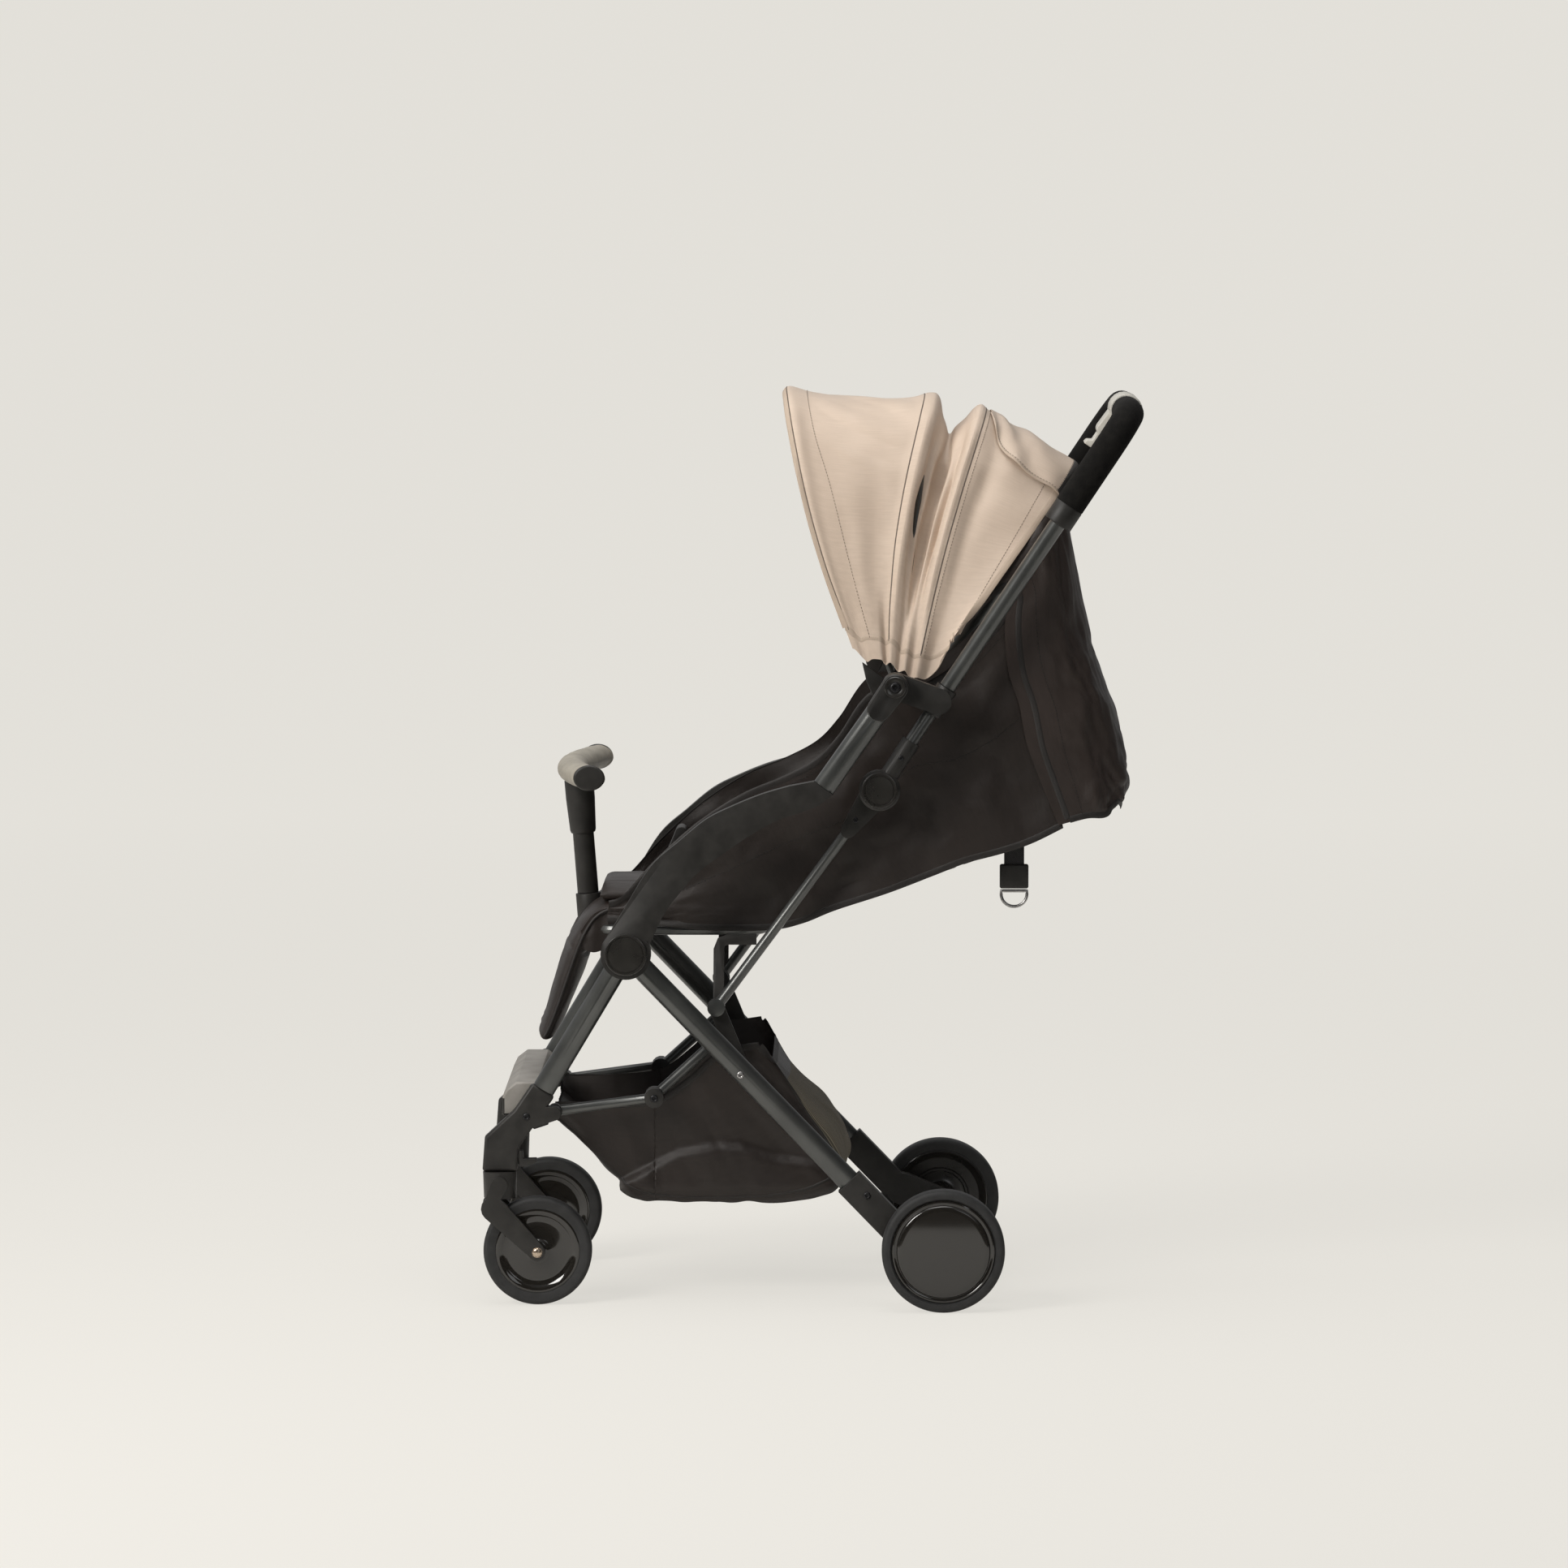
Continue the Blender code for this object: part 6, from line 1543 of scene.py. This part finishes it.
# A gusset of the same cloth closes each side between the roll and the seat's tube
GUSSET_HIGH = [(-0.2660, 0.4240), (-0.2500, 0.4440), (-0.2280, 0.4500), (-0.2020, 0.4420)]
GUSSET_LOW = [(-0.2640, 0.4040), (-0.2500, 0.3990), (-0.2300, 0.4080), (-0.2080, 0.4280)]
GUSSET_X = 0.1165
for side, s in SIDES.items():
    def seat_gusset(u, v, s=s):
        low, high = curve_through(GUSSET_LOW, u), curve_through(GUSSET_HIGH, u)
        sag = 0.0012 * noise.noise(Vector((u * 5.0, v * 3.0, 71.0)))
        return Vector((s * (GUSSET_X + sag), low[0] + (high[0] - low[0]) * v,
                       low[1] + (high[1] - low[1]) * v))

    gusset = cloth(f"seat_gusset_{side}", seat_gusset, 30, 16, (0.066, 0.051), charcoal_painted_shade,
                   "frame")

LINER_HALF = 0.1050
LINER_FRONT = -0.2440
LINER_REAR = -0.0600
LINER_MIDDLE_Z = 0.4632
LINER_THICK = 0.0110
STRAP_HOLE = (0.0, -0.1760)


def liner_skin(u, v):
    across, out = oblong(2 * pi * u, 3.0)
    x = across * LINER_HALF
    y = LINER_FRONT + (LINER_REAR - LINER_FRONT) * v
    puff = 1 - 0.16 * sum(swell_at(x, place, SEAM_WIDE) for place in BACK_CHANNELS)
    puff -= 0.14 * swell_at(y, SEAT_SEAM, SEAM_WIDE)
    thick = LINER_THICK * (0.12 + 0.88 * rounded_end(v, 0.07)) * puff
    tuft = 0.0060 * swell_at(x, STRAP_HOLE[0], 0.014) * swell_at(y, STRAP_HOLE[1], 0.014)
    crumple = 0.0014 * noise.noise(Vector((x * 26.0, y * 30.0, out))) * abs(out)
    crown = 0.0016 * (1 - across * across)
    return Vector((x, y, LINER_MIDDLE_Z + out * thick + crumple + (crown - tuft if out > 0 else 0.0)))


liner = wrapped("seat_liner", liner_skin, 110, 70, (0.430, 0.185), charcoal_painted_shade,
                "frame")

# Harness: two shoulder straps and two waist straps of narrow black webbing over the backrest, with
# adjusters, and the crotch strap with its press-button buckle.
webbing, webbing_shader = new_finish("black_webbing", (0.020, 0.019, 0.019), 0.72)
ribs_of_webbing = add_node(webbing, "ShaderNodeTexWave", wave_type="BANDS",
                           bands_direction="DIAGONAL", Scale=260.0, Distortion=0.4)
link(webbing, add_node(webbing, "ShaderNodeTexCoord").outputs["Object"],
     ribs_of_webbing.inputs["Vector"])
vary_color(webbing, webbing_shader, ribs_of_webbing.outputs["Fac"], (0.011, 0.010, 0.010),
           (0.026, 0.025, 0.025))
add_bump(webbing, webbing_shader, ribs_of_webbing.outputs["Fac"], 0.4, 0.0004)
webbing_shader.inputs["Sheen Weight"].default_value = 0.15

buckle = softened("harness_buckle", "harness_buckle_moulding", webbing, 0.0016, 3)
repaint(buckle, nylon, lambda spot: spot.z > 0.4885 or abs(spot.x) > 0.0116)


def back_spot(x, along, over):
    y = BACK_HINGE[0] + along * cos(BACK_SLOPE) - over * sin(BACK_SLOPE)
    z = BACK_HINGE[1] + along * sin(BACK_SLOPE) + over * cos(BACK_SLOPE)
    return Vector((x, y, z))


def back_clip(name, corners, inner, outer):
    """A small moulding on a strap: its corners are given as (distance up the backrest, height)."""
    spots = [back_spot(0.0, along, STRAP_OVER + over) for along, over in corners]
    moulding(name, [(spot.y, spot.z) for spot in spots], inner, outer, nylon,
             "backrest", 0.0016, 3)


# Heights over the backrest, distances up it from its hinge and distances from its middle
STRAP_OVER = 0.0235
SHOULDER_TOP = 0.300
SHOULDER_RUN = 0.225
SHOULDER_X = 0.036
SHOULDER_WIDE = 0.0220
WAIST_LOW = 0.030
WAIST_X = 0.0960
WAIST_RUN = 0.0620
WAIST_WIDE = 0.0200
ADJUSTER = [(0.150, 0.0020), (0.174, 0.0020), (0.174, 0.0066), (0.150, 0.0066)]
TONGUE = [(0.047, -0.0020), (0.071, -0.0020), (0.069, 0.0040), (0.049, 0.0040)]
for side, s in SIDES.items():
    def shoulder_strap(u, v, s=s):
        along = SHOULDER_TOP - SHOULDER_RUN * v
        x = s * (SHOULDER_X + 0.012 * sin(pi * v) + 0.006 * v)
        over = STRAP_OVER + 0.0035 * sin(pi * v) + 0.0016 * sin(3 * pi * v)
        return back_spot(x + (u - 0.5) * SHOULDER_WIDE, along, over - 0.0006 * abs(2 * u - 1))

    def waist_strap(u, v, s=s):
        along = WAIST_LOW + 0.028 * sin(pi * v / 2)
        x = s * (WAIST_X - WAIST_RUN * v)
        over = STRAP_OVER - 0.0030 + 0.0075 * sin(pi * v)
        return back_spot(x, along + (u - 0.5) * WAIST_WIDE, over)

    cloth(f"shoulder_strap_{side}", shoulder_strap, 6, 60, (0.022, 0.230), webbing,
          "backrest", 0.0015)
    cloth(f"waist_strap_{side}", waist_strap, 6, 40, (0.020, 0.075), webbing, "backrest",
          0.0015)
    back_clip(f"shoulder_adjuster_{side}", ADJUSTER, s * 0.0350, s * 0.0640)
    back_clip(f"waist_tongue_{side}", TONGUE, s * 0.0190, s * 0.0400)

# Recline strap: a loop of webbing under the backrest with a squeeze slider and a steel D-ring.
STRAP_X = 0.0920
STRAP_HALF = 0.00135
RING_WIRE = 0.0018
RING_CORNER = 0.0040
strap = softened("recline_strap", "recline_strap_webbing", webbing, 0.0008, 2)
repaint(strap, nylon, lambda spot: abs(spot.x - STRAP_X) > STRAP_HALF)
ring_low, ring_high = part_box("d_ring")
ring_top = ring_high.z - RING_WIRE
ring_half = (ring_high.y - ring_low.y) / 2 - RING_WIRE
ring_y = (ring_high.y + ring_low.y) / 2
ring_path = [(STRAP_X, ring_y - ring_half + 2 * ring_half * i / 12, ring_top) for i in range(13)]
ring_path += [(STRAP_X, ring_y + ring_half * cos(-pi * i / 24), ring_top - RING_CORNER
               + (ring_low.z + RING_WIRE - ring_top + RING_CORNER) * sin(pi * i / 24))
              for i in range(25)]
d_ring = swept("d_ring_wire", ring_path, RING_WIRE, zinc, "d_ring", 6, True)
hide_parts("d_ring")

# Bumper bar: a nylon post that steps out to a flared collar, and on it a foam bar in greige
# leatherette, with a sewn band over the post and a black oval cap pressed into each end.
BAR_HALF = 0.1500
BAR_SPINE = (-0.2790, 0.6020)
BAR_SWEEP = 0.0250
BAR_WIDE = 0.0345
BAR_HIGH = 0.0275
POST_FOOT = (-0.2615, 0.4560)
POST_TOP = (-0.2700, 0.5630)
# The post's section, as distance up from its foot, half depth and half width
POST_SECTION = [(-0.0220, 0.0080, 0.0080), (-0.0010, 0.0080, 0.0080), (0.0, 0.01225, 0.01225),
                (0.0700, 0.0122, 0.0122), (0.0705, 0.0140, 0.0150), (0.0740, 0.0150, 0.0160),
                (0.1100, 0.0168, 0.0185), (0.1320, 0.0170, 0.0200)]
POST_SIDES = 48
post_way = (Vector(POST_TOP) - Vector(POST_FOOT)).normalized()
start_clean()
bpy.ops.mesh.primitive_cylinder_add(vertices=POST_SIDES, radius=1.0, depth=1.0,
                                    end_fill_type="NGON")
post = bpy.context.view_layer.objects.active
post.name = "bumper_post_moulding"
bpy.ops.object.mode_set(mode="EDIT")
bpy.ops.mesh.select_all(action="DESELECT")
post_mesh = bmesh.from_edit_mesh(post.data)
for face in post_mesh.faces:
    face.select_set(face.normal.z > 0.9)
bmesh.update_edit_mesh(post.data)
for step in POST_SECTION[2:]:
    bpy.ops.mesh.extrude_region_move(TRANSFORM_OT_translate={"value": (0.0, 0.0, 1.0)})
bpy.ops.object.mode_set(mode="OBJECT")
for vertex in post.data.vertices:
    along, half_deep, half_wide = POST_SECTION[round(vertex.co.z + 0.5)]
    middle = Vector(POST_FOOT) + post_way * along
    square = Vector((post_way.y, -post_way.x)) * vertex.co.y * half_deep
    vertex.co = (vertex.co.x * half_wide, middle.x + square.x, middle.y + square.y)
round_edges(post, 0.0012, 3, 40)
edit_all(face_outward)
dressed(post, nylon, "bumper", 36)
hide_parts("bumper_post")

leatherette, leather_shader = new_finish("greige_leatherette", (0.32, 0.29, 0.235), 0.46)
leather_cells = cells_on(leatherette, 620.0)
leather_cloud = noise_on(leatherette, 45.0, 4.0)
vary_color(leatherette, leather_shader, leather_cloud.outputs["Fac"], (0.27, 0.245, 0.200),
           (0.35, 0.32, 0.265))
vary_roughness(leatherette, leather_shader, leather_cells, 0.38, 0.54)
leather_bump = add_bump(leatherette, leather_shader, leather_cells, 0.30, 0.0004)
add_bump(leatherette, leather_shader, leather_cloud.outputs["Fac"], 0.15, 0.0012, leather_bump)

BAND_HALF = 0.17
CAP_SEAM = 0.955


def bar_skin(u, v):
    """Along v from end to end of the bar, round it with u."""
    t = 2 * v - 1
    seam = 0.0012 * (swell_at(abs(t), BAND_HALF, 0.010) + swell_at(abs(t), CAP_SEAM, 0.012))
    turn = 2 * pi * u
    y = BAR_SPINE[0] + BAR_SWEEP * t * t
    wrinkle = 0.0005 * noise.noise(Vector((t * 14.0, cos(turn) * 2, sin(turn) * 2)))
    deep = BAR_WIDE / 2 - seam + wrinkle
    tall = BAR_HIGH / 2 - seam + wrinkle
    return Vector((BAR_HALF * t * 0.972, y + deep * cos(turn), BAR_SPINE[1] + tall * sin(turn)))


bar = wrapped("bumper_bar_cover", bar_skin, 48, 150, (0.098, 0.300), leatherette,
              "bumper")
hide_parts("bumper_bar")

END_CAP_HALF = (0.0180, 0.0148)
for side, s in SIDES.items():
    cap_y = BAR_SPINE[0] + BAR_SWEEP * 0.96
    turns = [2 * pi * i / 48 for i in range(48)]
    outline = [(cap_y + END_CAP_HALF[0] * cos(turn), BAR_SPINE[1] + END_CAP_HALF[1] * sin(turn))
               for turn in turns]
    moulding(f"bumper_end_cap_{side}", outline, s * BAR_HALF * 0.958, s * BAR_HALF, nylon,
             "bumper", 0.0028, 5)

# Footrest: a nylon tray between the caster sockets with a soft greige pad moulded over its top.
footrest_pad = mottled("greige_soft_pad", (0.24, 0.225, 0.205), 0.55, 0.0, (38.0, 4.0),
                       ((0.205, 0.192, 0.172), (0.275, 0.258, 0.235)), None,
                       (1500.0, 3.0, 0.15, 0.0003))
FOOT_PAD_LOW = 0.2340
footrest = softened("footrest", "footrest_moulding", nylon, 0.0052, 5)
repaint(footrest, footrest_pad, lambda spot: spot.z > FOOT_PAD_LOW)
